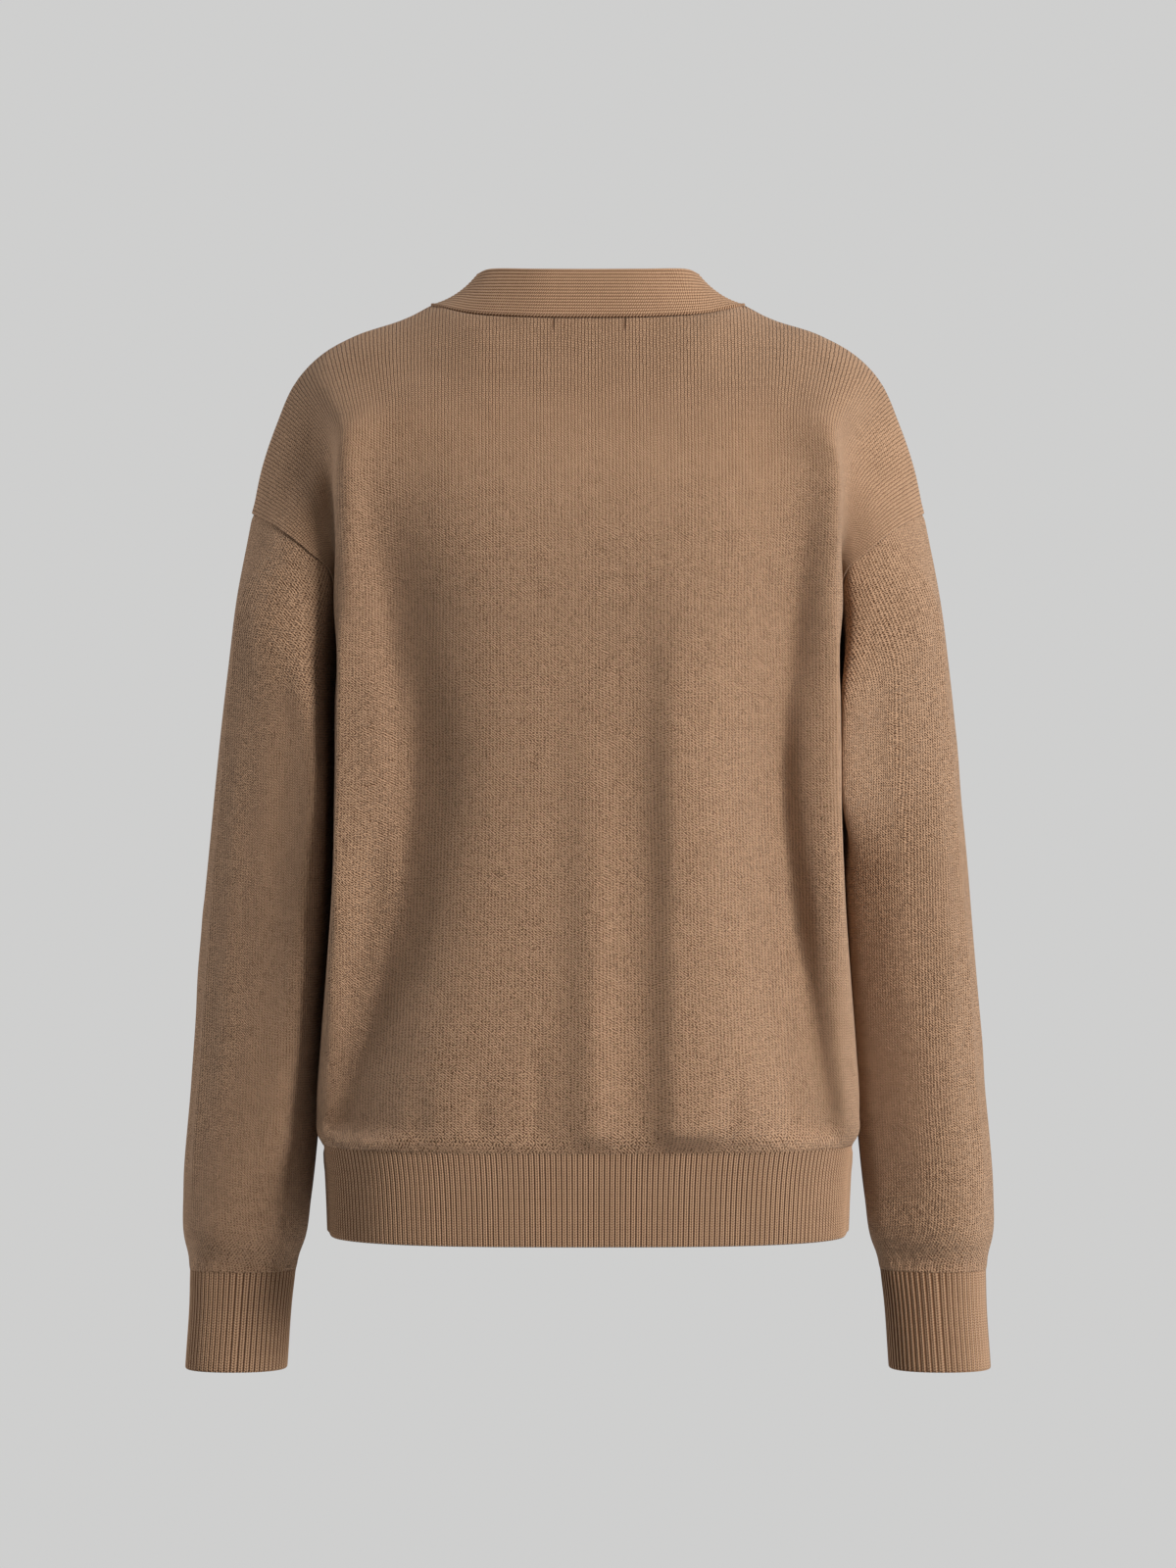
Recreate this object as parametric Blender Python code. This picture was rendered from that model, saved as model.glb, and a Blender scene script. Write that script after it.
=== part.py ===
"""A knitted V-neck cardigan, worn shape with nobody in it.

Metres, +Z up. The origin is the middle of the neck at the height of the high shoulder points.
The back faces +Y, the fronts face -Y and +X is the wearer's left. Every knitted piece is a wall
between an outer grid of points and an inner one. A point on the body has a share, from 0 at the
centre line to 1 at the side seam or armhole, and a rise above the seam between body and hem rib.
"""

import math

import bmesh
import bpy
import numpy as np

# ------------------------------------------------------------------ driving sizes
GAP = 0.00035             # between two pieces that meet
HALF_GAP = GAP / 2
KNIT_WALL = 0.0020        # plain knit of the panels and sleeves
RIB_WALL = 0.0030         # ribbed hem, cuffs and front band
RIB_TOP = -0.5670         # height of the seam between body and hem rib
HEM_RISE = -0.0615        # the lower edge of the hem rib
UNDERARM_RISE = 0.325
SHOULDER_RISE = 0.560
HALF_PANEL = 0.245        # width of half a panel along a course
SLEEVE_LENGTH = 0.50      # down the middle of a sleeve and its cuff
V_RISE = 0.322            # where the neckline leaves the button band
V_BEND = 0.008            # how softly it does
NECK_SHARE = 0.36         # share of a half panel's top edge that is neckline
FRONT_EDGE_SHARE = 0.0714 # where a front ends below the V, half a band from the centre line
SIDE_Y = -0.008           # the side seams, from front to back
BAND_WIDTH = 0.035
BAND_CLEAR = 0.00028      # the band's own distance from its seam line, wider where it turns up
LAP_SHIFT = 0.00175       # how far each button band lies out of, or into, the middle surface
LAP_REACH = 0.20          # shares of a half panel over which that shift fades
LAP_ENDS = (0.375, 0.455) # rises between which it fades up the V
CUFF_START = 0.873        # share of the sleeve's length where the cuff begins
BUTTON_COUNT = 6
BUTTON_RADIUS = 0.0075
BUTTON_THICKNESS = 0.0030
BUTTON_EDGE = 0.0008      # how far its rim is rounded off
BUTTON_SIDES = 16
BUTTON_TOP_RISE = 0.303
BUTTON_BOTTOM_RISE = -0.030
THREAD_RADIUS = 0.0007
BUTTONHOLE_LENGTH = 0.017
BUTTONHOLE_WIDTH = 0.0024

# ------------------------------------------------------------------ form of the body
# height, half width, depth behind and before the side seams, roundness of the back and the front,
# x of the sharp corner between back and side, and how far that corner is filled out; the last row
# is given twice, so that the sides run straight up into the underarm
BODY_SECTIONS = (
    (-0.6285, 0.1775, 0.1265, 0.1095, 2.9, 2.5, 0.1710, 0.0),
    (-0.6000, 0.1786, 0.1275, 0.1105, 2.9, 2.5, 0.1720, 0.0),
    (-0.5830, 0.1797, 0.1280, 0.1110, 2.9, 2.5, 0.1730, 0.0),
    (-0.5740, 0.1812, 0.1285, 0.1115, 2.9, 2.5, 0.1745, 0.0),
    (-0.5670, 0.1826, 0.1292, 0.1122, 2.9, 2.5, 0.1760, 0.0),
    (-0.5600, 0.1862, 0.1325, 0.1152, 2.9, 2.5, 0.1790, 0.003),
    (-0.5440, 0.1872, 0.1335, 0.1162, 3.0, 2.5, 0.1797, 0.003),
    (-0.5000, 0.1845, 0.1310, 0.1150, 3.1, 2.5, 0.1770, 0.005),
    (-0.4500, 0.1805, 0.1270, 0.1140, 3.1, 2.4, 0.1730, 0.014),
    (-0.3900, 0.1765, 0.1235, 0.1145, 3.2, 2.4, 0.1690, 0.030),
    (-0.3200, 0.1750, 0.1210, 0.1170, 3.2, 2.4, 0.1672, 0.030),
    (-0.2640, 0.1740, 0.1195, 0.1185, 3.2, 2.4, 0.1665, 0.030),
    (-0.2420, 0.1705, 0.1190, 0.1190, 3.2, 2.4, 0.1663, 0.030),
    (-0.2415, 0.1705, 0.1190, 0.1190, 3.2, 2.4, 0.1663, 0.030),
)
CORNER_INSET = 0.004      # the filling is greatest this far inside the side
CORNER_REACH = (0.014, 0.022)   # how far it reaches towards the centre and towards the side
CORNER_DEPTH = 0.096      # the corner lies this far behind the side seam
CORNER_SIDE = 0.020       # the side turns in to it over this depth, then begins to be filled out
CORNER_SHARE = NECK_SHARE + (1 - NECK_SHARE) * 4 / 9     # where a course of the back has it
# The yoke, a row for each course above the underarm: the rise, then x, y, z of the centre, the
# shoulder blade or chest, the crest beside the fold, the fold's edge, its pit and the armhole seam.
YOKE_BACK = (
    (0.370, (0.0, 0.110, -0.200), (0.090, 0.103, -0.200), (0.148, 0.083, -0.201),
     (0.1665, 0.081, -0.203), (0.1690, 0.036, -0.212), (0.1705, 0.016, -0.222)),
    (0.415, (0.0, 0.105, -0.156), (0.088, 0.099, -0.157), (0.146, 0.083, -0.159),
     (0.1665, 0.079, -0.163), (0.1690, 0.055, -0.175), (0.1710, 0.044, -0.186)),
    (0.462, (0.0, 0.096, -0.110), (0.084, 0.092, -0.111), (0.143, 0.081, -0.115),
     (0.1662, 0.077, -0.121), (0.1710, 0.058, -0.136), (0.1870, 0.047, -0.169)),
    (0.512, (0.0, 0.080, -0.061), (0.076, 0.077, -0.062), (0.134, 0.071, -0.070),
     (0.1668, 0.067, -0.083), (0.1758, 0.052, -0.098), (0.2090, 0.034, -0.152)),
)
YOKE_FRONT = (
    (0.370, (0.0, -0.124, -0.204), (0.090, -0.116, -0.203), (0.147, -0.087, -0.204),
     (0.1660, -0.066, -0.207), (0.1675, -0.048, -0.214), (0.1700, -0.032, -0.222)),
    (0.415, (0.0, -0.115, -0.160), (0.085, -0.109, -0.160), (0.142, -0.088, -0.161),
     (0.1650, -0.071, -0.166), (0.1670, -0.058, -0.176), (0.1710, -0.049, -0.187)),
    (0.462, (0.0, -0.098, -0.114), (0.080, -0.095, -0.112), (0.134, -0.081, -0.116),
     (0.1610, -0.070, -0.124), (0.1710, -0.061, -0.139), (0.1870, -0.051, -0.169)),
    (0.512, (0.0, -0.072, -0.068), (0.075, -0.070, -0.064), (0.126, -0.061, -0.072),
     (0.1560, -0.055, -0.086), (0.1770, -0.049, -0.106), (0.2090, -0.034, -0.152)),
)
BACK_NECK = (
    (0.0, 0.0580, -0.0130),
    (0.045, 0.0545, -0.0120),
    (0.082, 0.0400, -0.0080),
    (0.101, 0.0230, -0.0020),
    (0.1065, 0.0110, 0.0),
)
FRONT_NECK = (
    (0.0, -0.0400, -0.0300),
    (0.050, -0.0360, -0.0260),
    (0.089, -0.0160, -0.0120),
    (0.1065, 0.0110, 0.0),
)
SHOULDER_SEAM = (
    (0.1065, 0.0110, 0.0),
    (0.1262, 0.0105, -0.0102),
    (0.1590, 0.0090, -0.0220),
    (0.1775, 0.0080, -0.0320),
    (0.1970, 0.0060, -0.0510),
    (0.2115, 0.0050, -0.0820),
    (0.2215, 0.0040, -0.1120),
    (0.2275, 0.0020, -0.1415),
)

# ------------------------------------------------------------------ form of the sleeves
# outer x and z, inner x and z, front y, back y, roundness: one row a ring, the last three in the
# cuff
SLEEVE_RINGS = (
    (0.2368, -0.190, 0.1700, -0.280, -0.066, 0.050, 2.6),
    (0.2445, -0.250, 0.1685, -0.322, -0.066, 0.051, 2.9),
    (0.2530, -0.328, 0.1690, -0.378, -0.062, 0.048, 2.6),
    (0.2623, -0.428, 0.1735, -0.452, -0.060, 0.040, 2.3),
    (0.2703, -0.530, 0.1810, -0.538, -0.062, 0.030, 2.1),
    (0.2762, -0.605, 0.1890, -0.607, -0.064, 0.022, 2.1),
    (0.2757, -0.633, 0.1930, -0.634, -0.062, 0.017, 2.1),
    (0.2725, -0.6480, 0.1980, -0.6480, -0.058, 0.008, 2.2),
    (0.2722, -0.6680, 0.2010, -0.6680, -0.057, 0.007, 2.2),
    (0.2755, -0.7235, 0.2055, -0.7235, -0.060, 0.006, 2.2),
)
# Where a sleeve is fuller behind, beside the body: whose, its turn and reach, the shares of its
# length where it begins, is full, fades and ends, and how far it goes back.
SLEEVE_FILLS = (
    (1, 0.16, 0.08, 0.0, 0.10, 0.60, 0.95, 0.014),
    (-1, 0.15, 0.08, 0.0, 0.10, 0.24, 0.58, 0.025),
    (-1, 0.13, 0.09, 0.30, 0.50, 0.75, 0.95, 0.008),
)
# A sleeve lies beside the body along a surface that leans outwards to the back.
TOUCH_SLOPE = 0.08
TOUCH_INSET = 0.0019
TOUCH_MIDDLE = 0.030      # y where it is that far inside the body's widest line
TOUCH_GAP = 0.0006        # from it to each of the two
TOUCH_SOFTNESS = 0.0015
BODY_TOUCHES = ((-0.242, -0.256), (-0.580, -0.560))    # heights where the touch begins and is full
SLEEVE_TOUCHES = ((0.0, 0.05), (-0.600, -0.570))       # the same, the first in shares of its length

# ------------------------------------------------------------------ largest folds
# Side +1 back or -1 front; x and z of the upper end, the middle and the lower end; the reach
# towards the centre and towards the side; the height, below 0 in a trough.
BODY_FOLDS = (
    (1, 0.145, -0.090, 0.123, -0.270, 0.166, -0.562, 0.036, 0.014, -0.0220),
    (1, -0.148, -0.080, -0.127, -0.325, -0.156, -0.562, 0.034, 0.012, -0.0180),
    (1, -0.164, -0.120, -0.159, -0.330, -0.170, -0.530, 0.016, 0.014, 0.0110),
    (1, -0.003, -0.190, -0.003, -0.400, -0.003, -0.640, 0.017, 0.016, 0.0070),
    (1, -0.062, -0.150, -0.064, -0.400, -0.066, -0.640, 0.020, 0.036, 0.0095),
    (-1, 0.112, -0.150, 0.116, -0.330, 0.122, -0.560, 0.030, 0.018, -0.0110),
    (-1, -0.116, -0.160, -0.112, -0.330, -0.118, -0.560, 0.028, 0.018, -0.0130),
    (-1, 0.062, -0.290, 0.066, -0.420, 0.064, -0.560, 0.018, 0.020, -0.0060),
    (-1, -0.058, -0.270, -0.064, -0.420, -0.068, -0.560, 0.020, 0.018, -0.0070),
)
FOLD_HEAD = -0.110        # a fold is full this far below its upper end
FOLD_FOOT = (-0.0825, 0.0275)   # it begins and is full this far above its lower end
RIB_FADE = 0.034          # every fold is gathered away this close to the rib
FOLD_SIDES = (0.72, 0.88) # and between these shares, before the side seam or armhole
FILLING_WAY = (0.17, 0.12)      # half axes of the oval whose normals the corner's filling follows

# ------------------------------------------------------------------ where the band's free edge runs
# share of the back neck from the centre to the shoulder, then x, y, z and how hollow the band is
BAND_TOP = (
    (0.00, 0.0, 0.0450, 0.0212, 0.0005),
    (0.35, 0.0360, 0.0425, 0.0216, 0.0008),
    (0.68, 0.0650, 0.0270, 0.0232, 0.0020),
    (1.00, 0.0745, 0.0010, 0.0225, 0.0035),
)
HOLLOW_WAY = (-0.40, -0.20, -0.90)
BAND_SETTLES = (0.430, 0.555)  # rises between which it leaves the front's surface for that edge

# ------------------------------------------------------------------ grids
NECK_COLUMNS = 5
SHOULDER_COLUMNS = 9
ARMHOLE_ROWS = 11
LOWER_RISES = (HALF_GAP, 0.006, 0.014, 0.034, 0.068, 0.108, 0.152, 0.200, 0.245, 0.283, 0.3115)
RIB_RISES = (HEM_RISE, -0.030, -0.009, -HALF_GAP)
RIB_SEAM_RISES = (0.034, 0.014, 0.006, 0.0, -0.009)
SLEEVE_ALONG = (0.0, 0.04, 0.085, 0.14, 0.205, 0.285, 0.375, 0.47, 0.57, 0.67, 0.76, 0.82, 0.862)
CUFF_ALONG = (0.92, 1.0)
HOLE_SHARE = BUTTONHOLE_WIDTH / BAND_WIDTH
BAND_COLUMNS = (0.0, 0.2, (1 - HOLE_SHARE) / 2, (1 + HOLE_SHARE) / 2, 0.8, 1.0)
SHARES = np.linspace(0, 1, 241)
CURVE_STEPS = 400


# ------------------------------------------------------------------ curves
def rising(value, start, end):
    """Smoothly from 0 where the value is start to 1 where it is end."""
    t = np.clip((value - start) / (end - start), 0, 1)
    return t * t * (3 - 2 * t)


def hermite(knots, rows, at, first=None, last=None):
    """The smooth curve through rows[k] at knots[k], read at each value of at."""
    knots = np.asarray(knots, float)
    rows = np.asarray(rows, float)
    wide = (-1,) + (1,) * (rows.ndim - 1)
    spans = np.diff(knots).reshape(wide)
    steps = np.diff(rows, axis=0) / spans
    slopes = np.empty_like(rows)
    slopes[1:-1] = (steps[:-1] * spans[1:] + steps[1:] * spans[:-1]) / (spans[1:] + spans[:-1])
    slopes[0] = steps[0] if first is None else first
    slopes[-1] = steps[-1] if last is None else last
    at = np.asarray(at, float)
    k = np.clip(np.searchsorted(knots, at, side="right") - 1, 0, len(knots) - 2)
    span = spans[k]
    t = (at - knots[k]).reshape(wide) / span
    start = (2 * t**3 - 3 * t**2 + 1) * rows[k] + (t**3 - 2 * t**2 + t) * span * slopes[k]
    end = (3 * t**2 - 2 * t**3) * rows[k + 1] + (t**3 - t**2) * span * slopes[k + 1]
    return start + end


def lengths(curve):
    """The distance along a curve at each of its points."""
    return np.concatenate([[0], np.cumsum(np.linalg.norm(np.diff(curve, axis=0), axis=1))])


def through(points):
    """A dense smooth curve through points; at the first it runs straight across the centre line."""
    points = np.asarray(points, float)
    knots = lengths(points)
    first = np.array([1.0, 0.0, 0.0]) if points[0, 0] == 0 else None
    return hermite(knots, points, np.linspace(0, knots[-1], CURVE_STEPS), first=first)


def evenly(curve, shares):
    """Points at the given shares of a curve's length."""
    run = lengths(curve)
    return np.stack([np.interp(shares * run[-1], run, curve[:, i]) for i in range(3)], axis=1)


# ------------------------------------------------------------------ body
def pressed(x, limit, way):
    """x kept below the limit, way -1, or above it, way 1, with a soft turn."""
    over = x - limit
    return limit + (over + way * np.sqrt(over * over + 4 * TOUCH_SOFTNESS**2)) / 2


def cornered(curve, corner):
    """A course of the back at SHARES; its point nearest to the corner is at CORNER_SHARE."""
    run = lengths(curve)
    nearest = np.argmin(np.linalg.norm(curve - corner, axis=1))
    return evenly(curve, np.interp(SHARES, (0, CORNER_SHARE, 1), (0, run[nearest] / run[-1], 1)))


def section(row, side):
    """Half a body section, from the centre line round to the side seam."""
    height, half_width, back, front, back_round, front_round, corner, filling = row
    depth, roundness = (back, back_round) if side > 0 else (front, front_round)
    angle = np.linspace(0, math.pi / 2, CURVE_STEPS)
    x = half_width * np.sin(angle) ** (2 / roundness)
    y = SIDE_Y + side * depth * np.cos(angle) ** (2 / roundness)
    if side > 0:
        off = x - (half_width - CORNER_INSET)
        reach = np.where(off < 0, *CORNER_REACH)
        way = np.stack([x / FILLING_WAY[0] ** 2, (y - SIDE_Y) / FILLING_WAY[1] ** 2])
        way *= filling * np.exp(-((off / reach) ** 2)) / np.linalg.norm(way, axis=0)
        inner = SIDE_Y + CORNER_SIDE
        turned = rising(y, SIDE_Y, inner)
        x, y = np.array([x, y]) + way * rising(y, inner, inner + CORNER_SIDE)
        limit = half_width - (half_width - corner) * (y - SIDE_Y) / CORNER_DEPTH
        x = x + (np.minimum(pressed(x, limit, -1), x) - x) * turned
    curve = np.stack([x, y, np.full_like(x, height)], axis=1)
    if side > 0:
        return cornered(curve, (corner, SIDE_Y + CORNER_DEPTH, height))
    return evenly(curve, SHARES)


def half_body(side):
    """The courses of half the back, side 1, or half the front, side -1, from the hem to the shoulder."""
    rises = [row[0] - RIB_TOP for row in BODY_SECTIONS]
    rows = [section(row, side) for row in BODY_SECTIONS]
    for rise, *points in YOKE_BACK if side > 0 else YOKE_FRONT:
        rises.append(rise)
        curve = through(points)
        rows.append(cornered(curve, points[3]) if side > 0 else evenly(curve, SHARES))
    neck = through(BACK_NECK if side > 0 else FRONT_NECK)
    neck = evenly(neck, SHARES[SHARES <= NECK_SHARE] / NECK_SHARE)
    beyond = SHARES[SHARES > NECK_SHARE] - NECK_SHARE
    seam = evenly(through(SHOULDER_SEAM), beyond / (1 - NECK_SHARE))
    rises.append(SHOULDER_RISE)
    rows.append(np.concatenate([neck, seam]))
    return np.array(rises), np.array(rows)


HALVES = {side: half_body(side) for side in (1, -1)}
YOKE_TOP = YOKE_BACK[-1][0]
# The slope across the shoulder seam, the same for front and back from near the centre outwards.
OVER_SHOULDER = (HALVES[-1][1][-2] - HALVES[1][1][-2]) / (2 * (SHOULDER_RISE - YOKE_TOP))
SHOULDER_PART = rising(SHARES, 0.10, NECK_SHARE)[:, None]
COURSE_LENGTHS = [lengths(row)[-1] for row in HALVES[-1][1]]


def touch(y, z):
    """x of the surface between a sleeve and the body, on the wearer's left."""
    heights = [row[0] for row in BODY_SECTIONS[:-2]]
    widths = [row[1] for row in BODY_SECTIONS[:-2]]
    return np.interp(z, heights, widths) - TOUCH_INSET + TOUCH_SLOPE * (y - TOUCH_MIDDLE)


def fold_height(side, x, z):
    """How far the folds lift the surface at points of the body."""
    total = np.zeros_like(x)
    for face, *place, to_centre, to_side, height in BODY_FOLDS:
        if face != side:
            continue
        x0, z0, x1, z1, x2, z2 = place
        line = hermite((-z0, -z1, -z2), ((x0,), (x1,), (x2,)), -z.ravel()).reshape(z.shape)
        off = (x - line) * math.copysign(1, x1)
        reach = np.where(off > 0, to_side, to_centre)
        ends = rising(z - z0, 0, FOLD_HEAD) * rising(z - z2, *FOLD_FOOT)
        total += height * ends * np.exp(-((off / reach) ** 2))
    return total * rising(z, RIB_TOP, RIB_TOP + RIB_FADE)


def body(side, share, rise):
    """Points of the body at matching arrays of shares, below 0 on the wearer's right, and rises."""
    share, rise = np.broadcast_arrays(np.asarray(share, float), np.asarray(rise, float))
    rises, rows = HALVES[side]
    onwards = (rows[-1] - rows[-2]) / (SHOULDER_RISE - YOKE_TOP)
    last = side * OVER_SHOULDER * SHOULDER_PART + onwards * (1 - SHOULDER_PART)
    levels, level = np.unique(rise, return_inverse=True)
    curves = hermite(rises, rows, levels, last=last)
    at = np.clip(np.abs(share), 0, 1) * (len(SHARES) - 1)
    low = np.minimum(at.astype(int), len(SHARES) - 2)
    part = (at - low)[..., None]
    level = level.reshape(rise.shape)
    points = curves[level, low] * (1 - part) + curves[level, low + 1] * part
    x, y, z = points[..., 0], points[..., 1], points[..., 2]
    hand = np.where(share < 0, -1.0, 1.0)
    y = y + side * fold_height(side, x * hand, z) * (1 - rising(np.abs(share), *FOLD_SIDES))
    beside = rising(z, *BODY_TOUCHES[0]) * rising(z, *BODY_TOUCHES[1])
    x = x + beside * (np.minimum(pressed(x, touch(y, z) - TOUCH_GAP, -1), x) - x)
    return np.stack([x * hand, y, z], axis=-1)


def edge_share(rise):
    """Where a front ends: straight up beside the buttons, then along the V to the shoulder."""
    above = rise - V_RISE
    above = above + np.hypot(above, V_BEND)
    top = SHOULDER_RISE - V_RISE
    top = top + math.hypot(top, V_BEND)
    return FRONT_EDGE_SHARE + (NECK_SHARE - FRONT_EDGE_SHARE) * above / top


def lap(hand, share, rise):
    """How far the wearer's right front, hand -1, comes forward to lap over the left one."""
    near = 1 - rising(np.abs(share) - edge_share(rise), 0, LAP_REACH)
    return hand * LAP_SHIFT * near * (1 - rising(rise, *LAP_ENDS))


def front(hand, share, rise):
    """The front on the wearer's left, hand 1, or right; shares below 0 lie past the centre line."""
    points = body(-1, hand * share, rise)
    points[..., 1] += lap(hand, share, rise)
    return points


def back(share, rise):
    return body(1, share, rise)


# ------------------------------------------------------------------ sleeves
def armhole_rises(rows):
    """Rises that divide the armhole seam into rows, from the underarm to the shoulder tip."""
    knots = [UNDERARM_RISE] + [row[0] for row in YOKE_BACK] + [SHOULDER_RISE]
    return np.interp(np.linspace(0, 1, rows + 1), np.linspace(0, 1, len(knots)), knots)


def around(turn):
    """The armhole seam at each turn: 0 the underarm, 0.25 the back, 0.5 the shoulder tip."""
    turn = turn % 1
    knots = armhole_rises(5)
    rise = np.interp(np.minimum(turn, 1 - turn) * 2, np.linspace(0, 1, len(knots)), knots)
    one = np.ones_like(turn)
    return np.where((turn <= 0.5)[:, None], back(one, rise), body(-1, one, rise))


def sleeve(hand, turn, along):
    """Points of a sleeve at matching grids of turns and shares along it, both on the left."""
    angle = 2 * math.pi * turn[0]
    rings = [around(turn[0])]
    for out_x, out_z, in_x, in_z, front_y, back_y, roundness in SLEEVE_RINGS:
        across = -np.sign(np.cos(angle)) * np.abs(np.cos(angle)) ** (2 / roundness)
        deep = np.sign(np.sin(angle)) * np.abs(np.sin(angle)) ** (2 / roundness)
        x = (out_x + in_x) / 2 + (out_x - in_x) / 2 * across
        y = (front_y + back_y) / 2 + (back_y - front_y) / 2 * deep
        z = (out_z + in_z) / 2 + (out_z - in_z) / 2 * across
        rings.append(np.stack([x, y, z], axis=1))
    rings = np.array(rings)
    middle = np.array([0.5 * (ring.min(axis=0) + ring.max(axis=0)) for ring in rings])
    run = lengths(middle)
    points = hermite(run / run[-1], rings, along[:, 0])
    x, y, z = points[..., 0], points[..., 1], points[..., 2]
    for whose, place, reach, begins, full, fades, ends, backwards in SLEEVE_FILLS:
        if whose == hand:
            level = rising(along, begins, full) * (1 - rising(along, fades, ends))
            y = y + backwards * level * np.exp(-((((turn - place + 0.5) % 1 - 0.5) / reach) ** 2))
    beside = rising(along, *SLEEVE_TOUCHES[0]) * rising(z, *SLEEVE_TOUCHES[1])
    x = x + beside * (np.maximum(pressed(x, touch(y, z) + TOUCH_GAP, 1), x) - x)
    return np.stack([x, y, z], axis=-1)


# ------------------------------------------------------------------ front band
def band(hand, across, run):
    """Points of the band on one side, at matching grids of across, 0 at the seam and 1 at the free
    edge, and run: 0 to 1 from the centre back to the shoulder, then 1 + the depth below it."""
    neck = np.clip(run, 0, 1)
    rise = SHOULDER_RISE - np.maximum(run - 1, 0)
    share = edge_share(rise)
    course = np.interp(rise, HALVES[-1][0], COURSE_LENGTHS)
    step = 0.002
    lean = course * (edge_share(rise + step) - edge_share(rise - step)) / (2 * step)
    out = across * BAND_WIDTH / np.sqrt(1 + lean * lean)
    lying = body(-1, hand * (share - out / course), np.minimum(rise + out * lean, SHOULDER_RISE))
    lying[..., 1] += lap(hand, share, rise)

    down_front = (run > 1)[..., None]
    round_neck = back(hand * neck * NECK_SHARE, SHOULDER_RISE)
    seam = np.where(down_front, front(hand, share, rise), round_neck)
    knots = [row[0] for row in BAND_TOP]
    top = hermite(knots, [row[1:] for row in BAND_TOP], neck.ravel(), first=(0.1, 0, 0, 0))
    top = top.reshape(neck.shape + (4,))
    hollow = 4 * across * (1 - across) * top[..., 3]
    reach = (np.array(BAND_TOP[-1][1:4]) - SHOULDER_SEAM[0]) * (hand, 1, 1)
    free = np.where(down_front, seam + reach, top[..., :3] * (hand, 1, 1))
    standing = seam + (free - seam) * across[..., None]
    standing += hollow[..., None] * np.array(HOLLOW_WAY) * (hand, 1, 1)
    leaves = rising(rise, *BAND_SETTLES)[..., None]
    return standing * leaves + lying * (1 - leaves)


def button_rises():
    """The rises of the buttons, from the top one down."""
    return np.linspace(BUTTON_TOP_RISE, BUTTON_BOTTOM_RISE, BUTTON_COUNT)


def band_runs():
    """Where the band has rows: round the back neck, down the V, at both ends of each buttonhole."""
    neck = np.linspace(0, 1, NECK_COLUMNS + 1)
    hole_ends = [rise + end * BUTTONHOLE_LENGTH / 2 for rise in button_rises() for end in (1, -1)]
    rises = np.concatenate([armhole_rises(ARMHOLE_ROWS), hole_ends, RIB_SEAM_RISES, [HEM_RISE]])
    rises = np.sort(rises)[::-1]
    return np.concatenate([neck[:-1], 1 + SHOULDER_RISE - rises])


# ------------------------------------------------------------------ meshes
def normals(surface, u, v, step=0.004):
    """Unit normals of surface(u, v), to the side from which u turns left towards v."""
    du = surface(u + step, v) - surface(u - step, v)
    dv = surface(u, v + step) - surface(u, v - step)
    normal = np.cross(du, dv)
    return normal / np.linalg.norm(normal, axis=-1, keepdims=True)


def fresh_scene():
    for item in list(bpy.data.objects):
        bpy.data.objects.remove(item, do_unlink=True)


def material(name, colour, roughness):
    made = bpy.data.materials.new(name)
    made.use_nodes = True
    shader = made.node_tree.nodes["Principled BSDF"]
    shader.inputs["Base Color"].default_value = (*colour, 1.0)
    shader.inputs["Roughness"].default_value = roughness
    return made


def wall(name, outer, inner, finish, ring=False, holes=()):
    """A closed solid between two grids. A ring joins its last column to its first; a hole is the
    row and column of a square that is left open."""
    rows, columns = outer.shape[:2]

    def corner(row, column, layer):
        return (layer * rows + row) * columns + column % columns

    faces = []

    def border(a, b):
        """The thin face along an outer face's side from a to b."""
        faces.append((corner(*b, 0), corner(*a, 0), corner(*a, 1), corner(*b, 1)))

    last = columns if ring else columns - 1
    for row in range(rows - 1):
        for column in range(last):
            square = ((row, column), (row, column + 1), (row + 1, column + 1), (row + 1, column))
            if (row, column) in holes:
                for a, b in zip(square, square[1:] + square[:1]):
                    border(b, a)
                continue
            faces.append(tuple(corner(*place, 0) for place in square))
            faces.append(tuple(corner(*place, 1) for place in reversed(square)))
    for column in range(last):
        border((0, column), (0, column + 1))
        border((rows - 1, column + 1), (rows - 1, column))
    if not ring:
        for row in range(rows - 1):
            border((row, columns - 1), (row + 1, columns - 1))
            border((row + 1, 0), (row, 0))
    mesh = bpy.data.meshes.new(name)
    points = np.concatenate([outer.reshape(-1, 3), inner.reshape(-1, 3)])
    mesh.from_pydata(points.tolist(), [], faces)
    mesh.materials.append(finish)
    mesh.shade_smooth()
    mesh.set_sharp_from_angle(angle=math.radians(50))
    made = bpy.data.objects.new(name, mesh)
    bpy.context.scene.collection.objects.link(made)
    return made


def panel(name, surface, u, v, thickness, finish, way=1, ring=False):
    """The wall of a knitted piece: its outer face is surface(u, v), way 1 where u turns left to v."""
    outer = surface(u, v)
    inner = outer - way * thickness * normals(surface, u, v)
    if way < 0:
        outer = outer[:, ::-1]
        inner = inner[:, ::-1]
    return wall(name, outer, inner, finish, ring)


def panel_rises():
    """The rises of the rows of a panel, from the rib seam to the shoulder seam."""
    rises = np.concatenate([LOWER_RISES, armhole_rises(ARMHOLE_ROWS)])
    rises[-1] -= HALF_GAP
    return rises


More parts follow.
